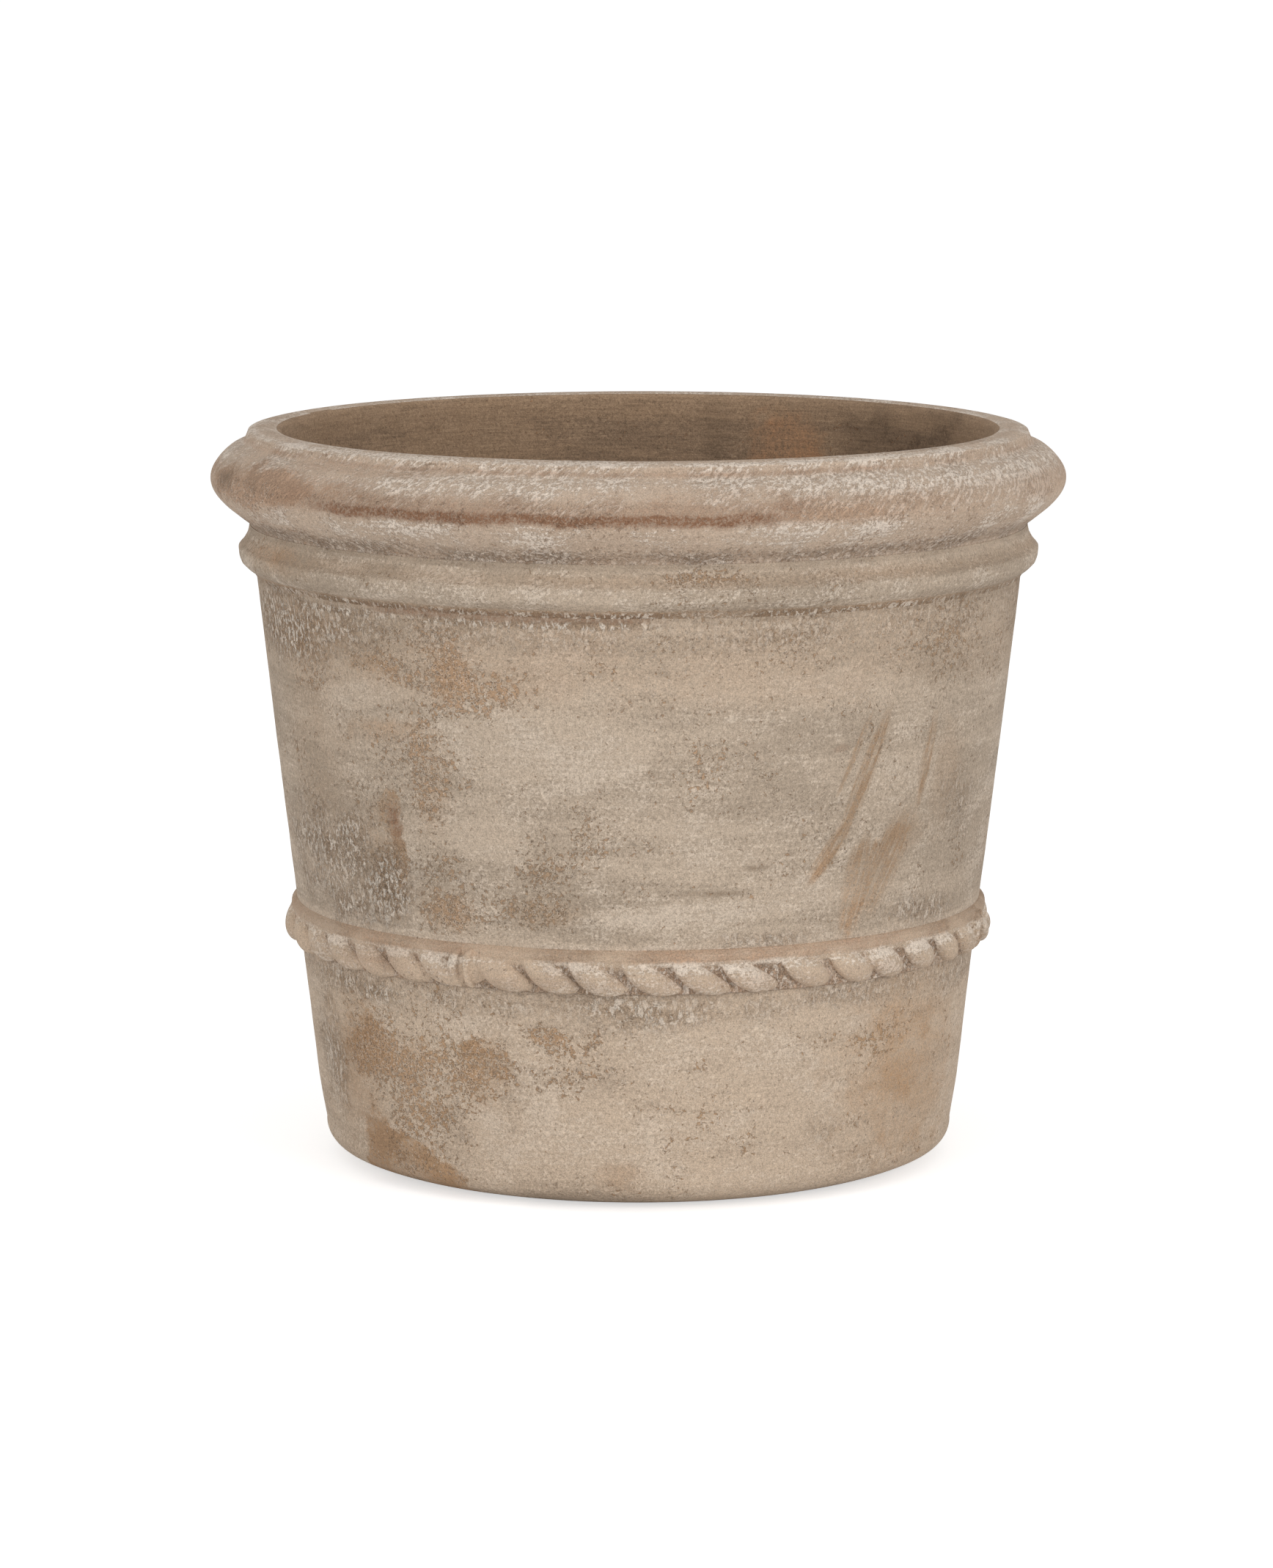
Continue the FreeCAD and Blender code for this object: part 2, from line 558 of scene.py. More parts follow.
def new_group(
    name: str, inputs: dict[str, object], outputs: dict[str, str]
) -> tuple[bpy.types.NodeTree, Board]:
    """Starts a shader node group.

    Args:
        name: Name of the group.
        inputs: Each input's name, with its default, which also tells its kind.
        outputs: Each output's name, with its socket type.

    Returns:
        The group and a board to work on it.
    """
    group = bpy.data.node_groups.new(name, "ShaderNodeTree")
    for key, value in inputs.items():
        kind = "NodeSocketFloat"
        if isinstance(value, tuple):
            kind = "NodeSocketColor" if len(value) == 4 else "NodeSocketVector"
        socket = group.interface.new_socket(name=key, in_out="INPUT", socket_type=kind)
        socket.default_value = value
    for key, kind in outputs.items():
        group.interface.new_socket(name=key, in_out="OUTPUT", socket_type=kind)
    return group, Board(group)


def place_group(sizes: PotSizes) -> bpy.types.NodeTree:
    """Node group that tells where a point lies on the pot.

    Args:
        sizes: The pot's sizes.

    Returns:
        A group from Position to Angle in degrees, Height, and Stand Out past the wall's cone.
    """
    group, board = new_group(
        "Place on Pot",
        {"Position": (0.0, 0.0, 0.0)},
        {"Angle": "NodeSocketFloat", "Height": "NodeSocketFloat", "Stand Out": "NodeSocketFloat"},
    )
    start = board.node("NodeGroupInput")
    end = board.node("NodeGroupOutput")
    x, y, z = board.node("ShaderNodeSeparateXYZ", {0: start.outputs["Position"]}).outputs
    angle = board.calc("DEGREES", board.calc("ARCTAN2", x, board.times(y, -1.0)))
    radius = board.calc("SQRT", board.calc("ADD", board.times(x, x), board.times(y, y)))
    wall = board.calc("MULTIPLY_ADD", z, sizes.slope, sizes.ground_radius)
    board.feed(end, {"Angle": angle, "Height": z, "Stand Out": board.calc("SUBTRACT", radius, wall)})
    return group


def patch_group(sizes: PotSizes, scraped: bool) -> bpy.types.NodeTree:
    """Node group for one ragged patch on the pot.

    Args:
        sizes: The pot's sizes.
        scraped: Whether fine lines run along the patch, as from a tool.

    Returns:
        A group from the place and the patch's sizes to a Mask.
    """
    group, board = new_group(
        "Scraped Patch" if scraped else "Ragged Patch",
        {
            "Angle": 0.0,
            "Height": 0.0,
            "Raggedness": 0.0,
            "Middle Angle": 0.0,
            "Middle Height": 0.0,
            "Half Width": 0.02,
            "Half Height": 0.02,
            "Tilt": 0.0,
            "Ragged": 0.5,
            "Softness": 0.5,
            "Strength": 1.0,
        },
        {"Mask": "NodeSocketFloat"},
    )
    start = board.node("NodeGroupInput").outputs
    end = board.node("NodeGroupOutput")
    turn = board.calc("WRAP", board.calc("SUBTRACT", start["Angle"], start["Middle Angle"]), 180.0, -180.0)
    across = board.times(board.calc("RADIANS", turn), sizes.joint_radius)
    up = board.calc("SUBTRACT", start["Height"], start["Middle Height"])
    lean = board.calc("RADIANS", start["Tilt"])
    cosine, sine = board.calc("COSINE", lean), board.calc("SINE", lean)
    minus_sine = board.times(sine, -1.0)
    turned_across = board.calc("MULTIPLY_ADD", across, cosine, board.times(up, minus_sine))
    turned_up = board.calc("MULTIPLY_ADD", across, sine, board.times(up, cosine))
    wide = board.calc("DIVIDE", turned_across, start["Half Width"])
    tall = board.calc("DIVIDE", turned_up, start["Half Height"])
    square = board.calc("MULTIPLY_ADD", wide, wide, board.times(tall, tall))
    reach = board.calc("SQRT", square)
    wobble = board.times(board.calc("SUBTRACT", start["Raggedness"], 0.5), start["Ragged"])
    reach = board.calc("MULTIPLY_ADD", wobble, 2.0, reach)
    inner = board.calc("SUBTRACT", 1.0, start["Softness"])
    mask = board.ramp(reach, inner, 1.0, 1.0, 0.0)
    if scraped:
        turned = board.node("ShaderNodeCombineXYZ", {0: turned_across, 1: turned_up}).outputs[0]
        lines = SCRAPE_LINES.read(board, turned)
        mask = board.times(mask, board.ramp(lines, 0.36, 0.58, 0.25, 1.0))
    board.feed(end, {"Mask": board.times(mask, start["Strength"])})
    return group


@dataclass(frozen=True)
class WashColours:
    """The tones of limewashed clay, as linear colours."""

    cream: Colour = (0.545, 0.436, 0.334, 1.0)
    grey: Colour = (0.410, 0.325, 0.246, 1.0)
    clay: Colour = (0.360, 0.242, 0.153, 1.0)
    orange: Colour = (0.455, 0.292, 0.178, 1.0)
    pit: Colour = (0.255, 0.163, 0.098, 1.0)
    lime: Colour = (0.670, 0.575, 0.478, 1.0)
    rust: Colour = (0.240, 0.128, 0.074, 1.0)
    # Dark tone for dirt, also painted in as shade in creases and under the roll
    grime: Colour = (0.228, 0.162, 0.108, 1.0)

    def sockets(self) -> dict[str, Colour]:
        """Each tone by the name of its socket on the wash group."""
        return {f"{key.capitalize()} Tone": tone for key, tone in vars(self).items()}


@dataclass(frozen=True)
class WashPatterns:
    """The patterns of the wash, with scales in repeats per metre and a twist in radians per metre."""

    wide: Pattern = Pattern(6.5, 3.0, 0.5)
    brush: Pattern = Pattern(8.0, 6.0, 0.62, stretch=(1.0, 1.0, 8.0))
    spread: Pattern = Pattern(17.0, 5.0, 0.66, 0.2, (1.2, 1.2, 1.0))
    cloud: Pattern = Pattern(26.0, 6.0, 0.62, 0.3, (1.0, 1.0, 1.5))
    comb: Pattern = Pattern(42.0, 4.0, 0.72, stretch=(1.0, 1.0, 18.0))
    chips: Pattern = Pattern(330.0, 5.0, 0.70, 0.5)
    stroke: Pattern = Pattern(360.0, 4.0, 0.74, 0.3, (1.0, 1.0, 0.30))
    stroke_twist: float = -4.2
    lime_scale: Pattern = Pattern(380.0, 4.0, 0.68, 0.6, (1.0, 1.0, 0.6))
    pits: float = 540.0
    speck: Pattern = Pattern(560.0, 3.5, 0.68, 0.4)
    grain: Pattern = Pattern(1300.0, 2.0, 0.75)


class OldLimewash:
    """Old limewash on fired clay: the patterns that it is made of, and the layers that they lay on."""

    def __init__(self, patterns: WashPatterns) -> None:
        """Starts the node group and reads the patterns.

        Args:
            patterns: The patterns to read.
        """
        inputs: dict[str, object] = {"Position": (0.0, 0.0, 0.0), "Speckle": 0.3, "Lime": 0.3, "Rings": 0.16}
        inputs |= {effect.value: 0.0 for effect in Effect}
        inputs |= WashColours().sockets()
        outputs = {"Color": "NodeSocketColor", "Roughness": "NodeSocketFloat", "Height": "NodeSocketFloat"}
        self.group, self.board = new_group("Old Limewash", inputs, outputs)
        self.start = self.board.node("NodeGroupInput").outputs
        self.end = self.board.node("NodeGroupOutput")
        board, place = self.board, self.start["Position"]
        self.wide = patterns.wide.read(board, place)
        self.brush = patterns.brush.read(board, place)
        self.spread = patterns.spread.read(board, place)
        self.cloud = patterns.cloud.read(board, place)
        self.comb = patterns.comb.read(board, place)
        self.chips = patterns.chips.read(board, place)
        self.lime_scale = patterns.lime_scale.read(board, place)
        self.pit_far, self.pit_chance = board.cells(place, patterns.pits)
        self.speck = patterns.speck.read(board, place)
        self.grain = patterns.grain.read(board, place)
        stroke = patterns.stroke.read(board, board.twist(place, patterns.stroke_twist))
        strokes = board.times(board.calc("SUBTRACT", stroke, 0.5), self.start["Strokes"])
        self.strokes = board.times(strokes, board.ramp(self.cloud, 0.36, 0.60, 0.45, 1.20))

    def film(self) -> Socket:
        """Lays the wash.

        Returns:
            Its colour, cream where it lies thick and grey where it is thin.
        """
        board = self.board
        patterns = (
            (self.wide, 1.5),
            (self.brush, 2.4),
            (self.cloud, 1.2),
            (self.comb, 0.7),
            (self.speck, 1.0),
        )
        strokes = board.times(self.strokes, 3.0)
        tone = board.ramp(board.total(board.weigh(*patterns), strokes, self.start["Cream"]), -0.52, 0.52)
        return board.mix(tone, self.start["Grey Tone"], self.start["Cream Tone"])

    def bloom(self) -> Socket:
        """Finds where lime has bloomed.

        Returns:
            How much of it there is.
        """
        board = self.board
        limey = board.total(
            board.times(self.cloud, 0.50),
            board.times(self.speck, 0.50),
            board.calc("MULTIPLY_ADD", self.comb, 0.30, -0.15),
            self.strokes,
            board.times(self.start["Cream"], 0.045),
            board.times(self.start["Bare"], -0.08),
        )
        return board.times(board.ramp(limey, 0.522, 0.578), self.start["Lime"])

    def tint(self, film: Socket, clay: Socket) -> Socket:
        """Lets the clay show through the wash.

        Args:
            film: The wash's colour.
            clay: The clay's colour.

        Returns:
            The tinted colour.
        """
        board = self.board
        soak = board.total(
            board.ramp(self.speck, 0.32, 0.66, -0.35, 0.30),
            board.ramp(self.cloud, 0.38, 0.62, -0.45, 0.25),
            1.0,
        )
        return board.mix(board.times(self.start["Tint"], soak), film, clay)

    def chip(self, film: Socket, clay: Socket) -> tuple[Socket, Socket]:
        """Breaks the wash into chipped flecks and into round pits with a pale edge.

        Args:
            film: The wash's colour.
            clay: The clay's colour.

        Returns:
            The chipped colour, and a mask of the flecks and pits.
        """
        board, start = self.board, self.start
        density = board.total(
            board.weigh((self.spread, 2.0), (self.brush, -0.8)),
            board.times(start["Cream"], -0.35),
            start["Speckle"],
            start["Bare"],
        )
        density = board.calc("MAXIMUM", board.calc("MINIMUM", density, 0.95), 0.0)
        fleck = board.ramp(board.calc("MULTIPLY_ADD", density, 0.24, self.chips), 0.650, 0.682)
        far = board.calc("MULTIPLY_ADD", self.speck, 0.55, board.calc("ADD", self.pit_far, -0.275))
        likely = board.calc("SUBTRACT", board.calc("ADD", density, 0.10), self.pit_chance)
        reach = board.calc("MINIMUM", board.times(likely, 0.46), 0.34)
        past = board.calc("SUBTRACT", far, reach)
        pit = board.ramp(past, -0.03, 0.05, 1.0, 0.0)
        edge = board.times(board.ramp(past, 0.03, 0.09), board.ramp(past, 0.12, 0.26, 1.0, 0.0))
        edge = board.times(edge, board.ramp(reach, 0.0, 0.10))
        film = board.mix(board.times(density, 0.08), film, clay)
        film = board.mix(board.times(fleck, 0.88), film, clay)
        film = board.mix(board.times(edge, 0.60), film, start["Lime Tone"])
        colour = board.mix(board.times(pit, 0.80), film, start["Pit Tone"])
        return colour, board.calc("MAXIMUM", fleck, pit)

    def stain(self, colour: Socket) -> Socket:
        """Lays rust, and dirt together with painted shade, on a colour.

        Args:
            colour: The colour below.

        Returns:
            The stained colour.
        """
        board, start = self.board, self.start
        rusty = board.times(start["Rust"], board.ramp(self.speck, 0.36, 0.60, 0.35, 1.0))
        colour = board.mix(rusty, colour, start["Rust Tone"])
        # Grime darkens towards the grime tone: dirt, and painted shade where the amount comes from creases,
        # the roll's underside and the rim's shadow inside
        dirt_and_shade_spread = board.ramp(board.total(self.cloud, self.speck), 0.84, 1.14)
        return board.mix(board.times(start["Grime"], dirt_and_shade_spread), colour, start["Grime Tone"])

    def crust(self, colour: Socket) -> tuple[Socket, Socket, Socket]:
        """Lays a crust of lime scale on a colour.

        Args:
            colour: The colour below.

        Returns:
            The crusted colour, and masks of the scale and of the hollows in it.
        """
        board, start = self.board, self.start
        thick = board.times(start["Crust"], board.ramp(self.cloud, 0.36, 0.60, 0.35, 1.15))
        crusty = board.times(board.ramp(self.lime_scale, 0.505, 0.540), thick)
        hollow = board.times(board.ramp(self.lime_scale, 0.40, 0.47, 1.0, 0.0), thick)
        colour = board.mix(board.times(thick, 0.30), colour, start["Orange Tone"])
        colour = board.mix(board.times(hollow, 0.36), colour, start["Grime Tone"])
        colour = board.mix(board.times(crusty, 0.88), colour, start["Lime Tone"])
        return colour, crusty, hollow

    def shade(self, colour: Socket) -> Socket:
        """Works fine grain, tooling rings and brush strokes into a colour.

        Args:
            colour: The colour below.

        Returns:
            The shaded colour.
        """
        board = self.board
        shade = board.total(
            board.calc("MULTIPLY_ADD", self.grain, 1.30, 0.35),
            board.calc("MULTIPLY_ADD", self.speck, 1.00, -0.50),
            board.times(board.calc("SUBTRACT", self.comb, 0.5), self.start["Rings"]),
            board.times(self.strokes, 0.75),
        )
        shading = board.node("ShaderNodeCombineColor", {0: shade, 1: shade, 2: shade}).outputs[0]
        return board.mix(1.0, colour, shading, "MULTIPLY")

    def build(self) -> bpy.types.NodeTree:
        """Lays the layers on and ends the group.

        Returns:
            A group from a place, the amounts of each effect and the tones, to Color, Roughness and Height.
        """
        board, start = self.board, self.start
        lime = self.bloom()
        film = board.mix(lime, self.film(), start["Lime Tone"])
        clay = board.mix(board.ramp(self.wide, 0.40, 0.62), start["Clay Tone"], start["Orange Tone"])
        colour, chipped = self.chip(self.tint(film, clay), clay)
        colour, crusty, hollow = self.crust(self.stain(colour))
        reliefs = (
            (self.grain, 0.50),
            (self.speck, 0.60),
            (self.comb, 0.30),
            (self.strokes, 0.80),
            (lime, 0.20),
            (chipped, -0.45),
            (crusty, 0.90),
            (hollow, -0.70),
        )
        outputs = {
            "Color": self.shade(colour),
            "Roughness": board.calc("MULTIPLY_ADD", self.speck, 0.15, 0.80),
            "Height": board.total(*(board.times(value, share) for value, share in reliefs)),
        }
        board.feed(self.end, outputs)
        return self.group


@dataclass(frozen=True)
class LimewashFinish:
    """Limewashed clay, with its own patches, bands and tones."""

    name: str
    patches: tuple[Patch, ...] = ()
    bands: tuple[Band, ...] = ()
    speckle: float = 0.06
    lime: float = 0.30
    rings: float = 0.16
    strokes: float = 0.15
    cream: float = 0.0
    groove_depth: float = 0.0
    groove_top: float = 0.0
    groove_softness: float = 0.0008
    groove_fade: float = 0.002
    hollow_range: tuple[float, float] = (0.06, 0.19)
    proud_range: tuple[float, float] = (0.24, 0.42)
    ragged: Pattern = Pattern(52.0, 8.0, 0.74, 0.3)
    relief: float = 0.0008
    sheen: float = 0.25
    tones: WashColours = WashColours()

    def material(self, groups: "Groups") -> bpy.types.Material:
        """Builds the material.

        Args:
            groups: The shared node groups.

        Returns:
            A material that reads Object coordinates.
        """
        made = bpy.data.materials.new(self.name)
        made.use_nodes = True
        board = Board(made.node_tree)
        place = board.node("ShaderNodeTexCoord").outputs["Object"]
        values = {"Position": place, "Speckle": self.speckle, "Lime": self.lime, "Rings": self.rings}
        values |= {effect.value: amount for effect, amount in self.amounts(board, groups, place).items()}
        values |= self.tones.sockets()
        wash = board.node("ShaderNodeGroup", values, node_tree=groups.wash).outputs
        relief = {"Strength": 1.0, "Distance": self.relief, "Height": wash["Height"]}
        normal = board.node("ShaderNodeBump", relief).outputs["Normal"]
        surface = {"Base Color": wash["Color"], "Roughness": wash["Roughness"], "Normal": normal}
        surface |= {"Specular IOR Level": self.sheen}
        board.feed(made.node_tree.nodes["Principled BSDF"], surface)
        return made

    def amounts(self, board: Board, groups: "Groups", place: Socket) -> dict[Effect, object]:
        """Adds up how much of each effect lies at a place.

        Args:
            board: The material's nodes.
            groups: The shared node groups.
            place: The place.

        Returns:
            The amount of each effect, as an output or a plain value.
        """
        where = board.node("ShaderNodeGroup", {"Position": place}, node_tree=groups.place).outputs
        ragged = self.ragged.read(board, place)
        amounts: dict[Effect, object] = {effect: 0.0 for effect in Effect}
        amounts[Effect.CREAM] = self.cream
        amounts[Effect.STROKES] = self.strokes
        for patch in self.patches:
            mask = self.patch_mask(board, groups, where, ragged, patch)
            amounts[patch.effect] = board.calc("ADD", amounts[patch.effect], mask)
        for band in self.bands:
            mask = self.band_mask(board, where, ragged, band)
            amounts[band.effect] = board.calc("ADD", amounts[band.effect], mask)
        if self.groove_depth:
            for effect, mask, share in self.form_masks(board, where):
                amounts[effect] = board.calc("MULTIPLY_ADD", mask, share, amounts[effect])
        return amounts

    def form_masks(
        self, board: Board, where: bpy.types.NodeOutputs
    ) -> tuple[tuple[Effect, Socket, float], ...]:
        """Finds the grooves between the lobes, the hollow places, which get painted shade, and the proud
        ones, which get more cream.

        Args:
            board: The material's nodes.
            where: The outputs that tell the place on the pot.

        Returns:
            What they bring: each effect with its mask and its share.
        """
        shallow = self.groove_depth + self.groove_softness
        deep = board.ramp(where["Stand Out"], self.groove_depth, shallow, 1.0, 0.0)
        lower = self.groove_top - self.groove_fade
        below = board.ramp(where["Height"], lower, self.groove_top, 1.0, 0.0)
        groove = board.times(deep, below)
        form = board.node("ShaderNodeAttribute", attribute_name=CREASE).outputs["Fac"]
        hollow = board.ramp(form, *self.hollow_range, 1.0, 0.0)
        proud = board.ramp(form, *self.proud_range)
        return (
            (Effect.BARE, groove, 1.1),
            (Effect.TINT, groove, 0.40),
            (Effect.CRUST, groove, 0.8),
            # Painted shade: hollow places between the lobes darken with the grime tone
            (Effect.GRIME, hollow, 1.0),
            (Effect.CREAM, proud, 0.6),
        )

    @staticmethod
    def patch_mask(
        board: Board, groups: "Groups", where: bpy.types.NodeOutputs, ragged: Socket, patch: Patch
    ) -> Socket:
        """Places one patch.

        Args:
            board: The material's nodes.
            groups: The shared node groups.
            where: The outputs that tell the place on the pot.
            ragged: The noise that frays its edge.
            patch: The patch.

        Returns:
            Its mask.
        """
        values = {
            "Angle": where["Angle"],
            "Height": where["Height"],
            "Raggedness": ragged,
            "Middle Angle": patch.angle,
            "Middle Height": patch.level,
            "Half Width": math.radians(patch.half_angle) * groups.sizes.joint_radius,
            "Half Height": patch.half_height,
            "Tilt": patch.tilt,
            "Ragged": patch.ragged,
            "Softness": patch.softness,
            "Strength": patch.strength,
        }
        group = groups.scrape if patch.scraped else groups.patch
        return board.node("ShaderNodeGroup", values, node_tree=group).outputs["Mask"]

    @staticmethod
    def band_mask(board: Board, where: bpy.types.NodeOutputs, ragged: Socket, band: Band) -> Socket:
        """Lays one band round the pot.

        Args:
            board: The material's nodes.
            where: The outputs that tell the place on the pot.
            ragged: The noise that frays its edges.
            band: The band.

        Returns:
            Its mask.
        """
        wander = band.softness * BAND_WANDER
        wobble = board.calc("MULTIPLY_ADD", ragged, wander, -wander / 2)
        level = board.calc("ADD", where["Height"], wobble)
        rise = board.ramp(level, band.low - band.softness, band.low + band.softness)
        fall = board.ramp(level, band.high - band.softness, band.high + band.softness, 1.0, 0.0)
        mask = board.times(board.times(rise, fall), band.strength)
        if band.end_angle - band.start_angle < 360:
            angle = where["Angle"]
            begin = board.ramp(angle, band.start_angle - BAND_FADE, band.start_angle + BAND_FADE)
            stop = board.ramp(angle, band.end_angle - BAND_FADE, band.end_angle + BAND_FADE, 1.0, 0.0)
            mask = board.times(mask, board.times(begin, stop))
        return mask


@dataclass(frozen=True)
class Groups:
    """The node groups that the finishes share."""

    sizes: PotSizes
    place: bpy.types.NodeTree
    patch: bpy.types.NodeTree
    scrape: bpy.types.NodeTree
    wash: bpy.types.NodeTree

    @classmethod
    def build(cls, sizes: PotSizes) -> "Groups":
        """Builds each group once.

        Args:
            sizes: The pot's sizes.

        Returns:
            The groups.
        """
        return cls(
            sizes=sizes,
            place=place_group(sizes),
            patch=patch_group(sizes, False),
            scrape=patch_group(sizes, True),
            wash=OldLimewash(WashPatterns()).build(),
        )


def streak(*sizes: float) -> Patch:
    """A streak scraped down to the clay, from a patch's sizes in the order of its fields."""
    return Patch(Effect.TINT, *sizes, scraped=True)


WALL_PATCHES = (
    Patch(Effect.BARE, -38.0, 0.245, 36.0, 0.110, strength=0.24, softness=1.0),
    Patch(Effect.TINT, -60.0, 0.245, 15.0, 0.120, strength=0.30, softness=1.0),
    Patch(Effect.TINT, -41.8, 0.222, 2.9, 0.017, strength=0.95, softness=0.40, ragged=1.3),
    Patch(Effect.RUST, -41.0, 0.219, 2.4, 0.015, strength=0.85, softness=0.8, ragged=1.2),
    Patch(Effect.TINT, -40.4, 0.196, 1.5, 0.020, strength=0.95, softness=0.30, ragged=1.0),
    Patch(Effect.TINT, -45.5, 0.206, 7.5, 0.026, strength=0.50, softness=0.9),
    Patch(Effect.BARE, -42.5, 0.188, 5.5, 0.024, strength=0.48),
    Patch(Effect.CRUST, -54.0, 0.188, 14.0, 0.044, tilt=-18, strength=1.0, softness=0.7),
    Patch(Effect.CRUST, -43.5, 0.178, 8.0, 0.024, strength=1.0, softness=0.6),
    Patch(Effect.CRUST, -50.0, 0.212, 5.0, 0.016, strength=0.7, softness=0.9),
    Patch(Effect.CRUST, -68.0, 0.194, 11.0, 0.048, strength=0.85, softness=0.9),
    Patch(Effect.GRIME, -46.0, 0.180, 8.0, 0.016, strength=0.08, softness=0.8),
    Patch(Effect.TINT, -60.0, 0.322, 24.0, 0.024, strength=0.32, softness=0.7),
    Patch(Effect.CRUST, -67.0, 0.320, 24.0, 0.030, strength=1.00, softness=0.8),
    Patch(Effect.CRUST, -46.0, 0.327, 8.0, 0.014, strength=0.45, softness=0.8),
    Patch(Effect.BARE, -42.0, 0.309, 10.0, 0.014, tilt=10, strength=0.35),
    Patch(Effect.TINT, -44.0, 0.309, 6.0, 0.008, strength=0.40, softness=0.8),
    Patch(Effect.BARE, -29.0, 0.306, 7.0, 0.030, strength=0.45, softness=0.9),
    Patch(Effect.TINT, -29.5, 0.306, 5.5, 0.022, strength=0.45, softness=0.8),
    Patch(Effect.BARE, -20.0, 0.298, 12.0, 0.018, strength=0.35, softness=1.0),
    Patch(Effect.BARE, -33.0, 0.250, 5.0, 0.055, strength=0.30, softness=0.9),
    Patch(Effect.TINT, -42.0, 0.272, 11.0, 0.010, tilt=-6, strength=0.45, softness=0.8),
    Patch(Effect.TINT, -33.0, 0.240, 5.0, 0.045, strength=0.25, softness=1.0),
    Patch(Effect.CREAM, -14.0, 0.264, 24.0, 0.018, strength=1.1, softness=0.7, ragged=0.5),
    Patch(Effect.CREAM, -47.0, 0.291, 13.0, 0.010, tilt=-8, strength=1.6, softness=0.6, ragged=0.4),
    Patch(Effect.CREAM, 10.0, 0.174, 20.0, 0.008, tilt=-2, strength=1.4, softness=0.6, ragged=0.5),
    Patch(Effect.CREAM, -24.0, 0.215, 9.0, 0.030, strength=0.7, softness=0.8),
    Patch(Effect.CREAM, 30.0, 0.305, 18.0, 0.010, strength=0.9, softness=0.8),
    Patch(Effect.GRIME, 10.0, 0.228, 12.0, 0.012, strength=0.08, softness=0.9),
    Patch(Effect.GRIME, 22.0, 0.252, 10.0, 0.010, strength=0.08, softness=0.9),
    Patch(Effect.BARE, -32.0, 0.172, 9.0, 0.020, strength=0.80, softness=1.0),
    Patch(Effect.TINT, -32.0, 0.171, 8.0, 0.016, strength=0.60, softness=0.8),
    Patch(Effect.BARE, -15.0, 0.173, 9.0, 0.016, strength=0.60, softness=1.0),
    Patch(Effect.TINT, -15.0, 0.174, 8.0, 0.012, strength=0.50, softness=0.8),
    Patch(Effect.BARE, -14.0, 0.200, 8.0, 0.012, strength=0.35, softness=1.0),
    Patch(Effect.CREAM, 44.0, 0.250, 20.0, 0.080, strength=0.5, softness=1.0),
    streak(37.0, 0.250, 1.9, 0.046, 20, 1.3, 0.5, 0.25),
    streak(34.6, 0.262, 0.8, 0.030, 22, 1.2, 0.5, 0.25),
    streak(31.2, 0.206, 1.9, 0.028, 34, 1.0, 0.6, 0.35),
    streak(36.8, 0.184, 3.6, 0.036, 10, 1.0, 0.50, 0.60),
    streak(43.0, 0.198, 4.6, 0.042, 26, 1.00, 0.6, 0.5),
    streak(50.0, 0.252, 1.8, 0.036, 10, 0.90, 0.6, 0.4),
    Patch(Effect.TINT, 56.0, 0.240, 7.0, 0.045, strength=0.34, softness=0.8),
    Patch(Effect.TINT, 47.0, 0.212, 7.0, 0.014, strength=0.40, softness=0.8),
    Patch(Effect.GRIME, 18.9, 0.200, 3.6, 0.0035, strength=0.9, softness=0.8),
    Patch(Effect.GRIME, 12.0, 0.186, 9.0, 0.0030, strength=0.6, softness=0.8),
    Patch(Effect.RUST, 32.2, 0.265, 2.4, 0.0028, tilt=-6, strength=0.35),
    Patch(Effect.BARE, 35.0, 0.290, 12.0, 0.010, strength=0.25, softness=1.0),
    Patch(Effect.BARE, 50.0, 0.320, 14.0, 0.018, strength=0.25, softness=1.0),
    Patch(Effect.CRUST, 61.0, 0.228, 8.0, 0.022, strength=0.65, softness=0.8),
    Patch(Effect.GRIME, 60.0, 0.226, 9.0, 0.020, strength=0.20, softness=0.8),
    Patch(Effect.CRUST, 54.0, 0.164, 15.0, 0.012, tilt=4, strength=0.85, softness=0.8),
    Patch(Effect.CRUST, 20.0, 0.158, 12.0, 0.006, strength=0.8, softness=0.7),
    Patch(Effect.BARE, 95.0, 0.300, 20.0, 0.030, strength=0.50, softness=1.0, ragged=1.4),
    Patch(Effect.TINT, 104.0, 0.215, 9.0, 0.050, tilt=12, strength=0.50, softness=0.9, ragged=1.4),
    Patch(Effect.CRUST, 126.0, 0.186, 24.0, 0.032, tilt=15, strength=0.8, softness=1.0),
    Patch(Effect.CREAM, 140.0, 0.270, 24.0, 0.018, strength=1.2, softness=0.7),
    Patch(Effect.BARE, 168.0, 0.205, 16.0, 0.040, strength=0.50, softness=1.0, ragged=1.5),
    Patch(Effect.TINT, 172.0, 0.310, 9.0, 0.026, strength=0.55, softness=0.8),
    streak(-160.0, 0.235, 3.0, 0.050, -18, 0.9, 0.5, 0.9),
    Patch(Effect.CRUST, -136.0, 0.322, 34.0, 0.028, strength=0.8, softness=1.0),
    Patch(Effect.BARE, -128.0, 0.185, 15.0, 0.028, strength=0.55, softness=1.0, ragged=1.5),
    Patch(Effect.TINT, -104.0, 0.265, 7.0, 0.040, strength=0.60, softness=0.7),
    Patch(Effect.CREAM, -92.0, 0.205, 16.0, 0.016, strength=1.1, softness=0.7),
)

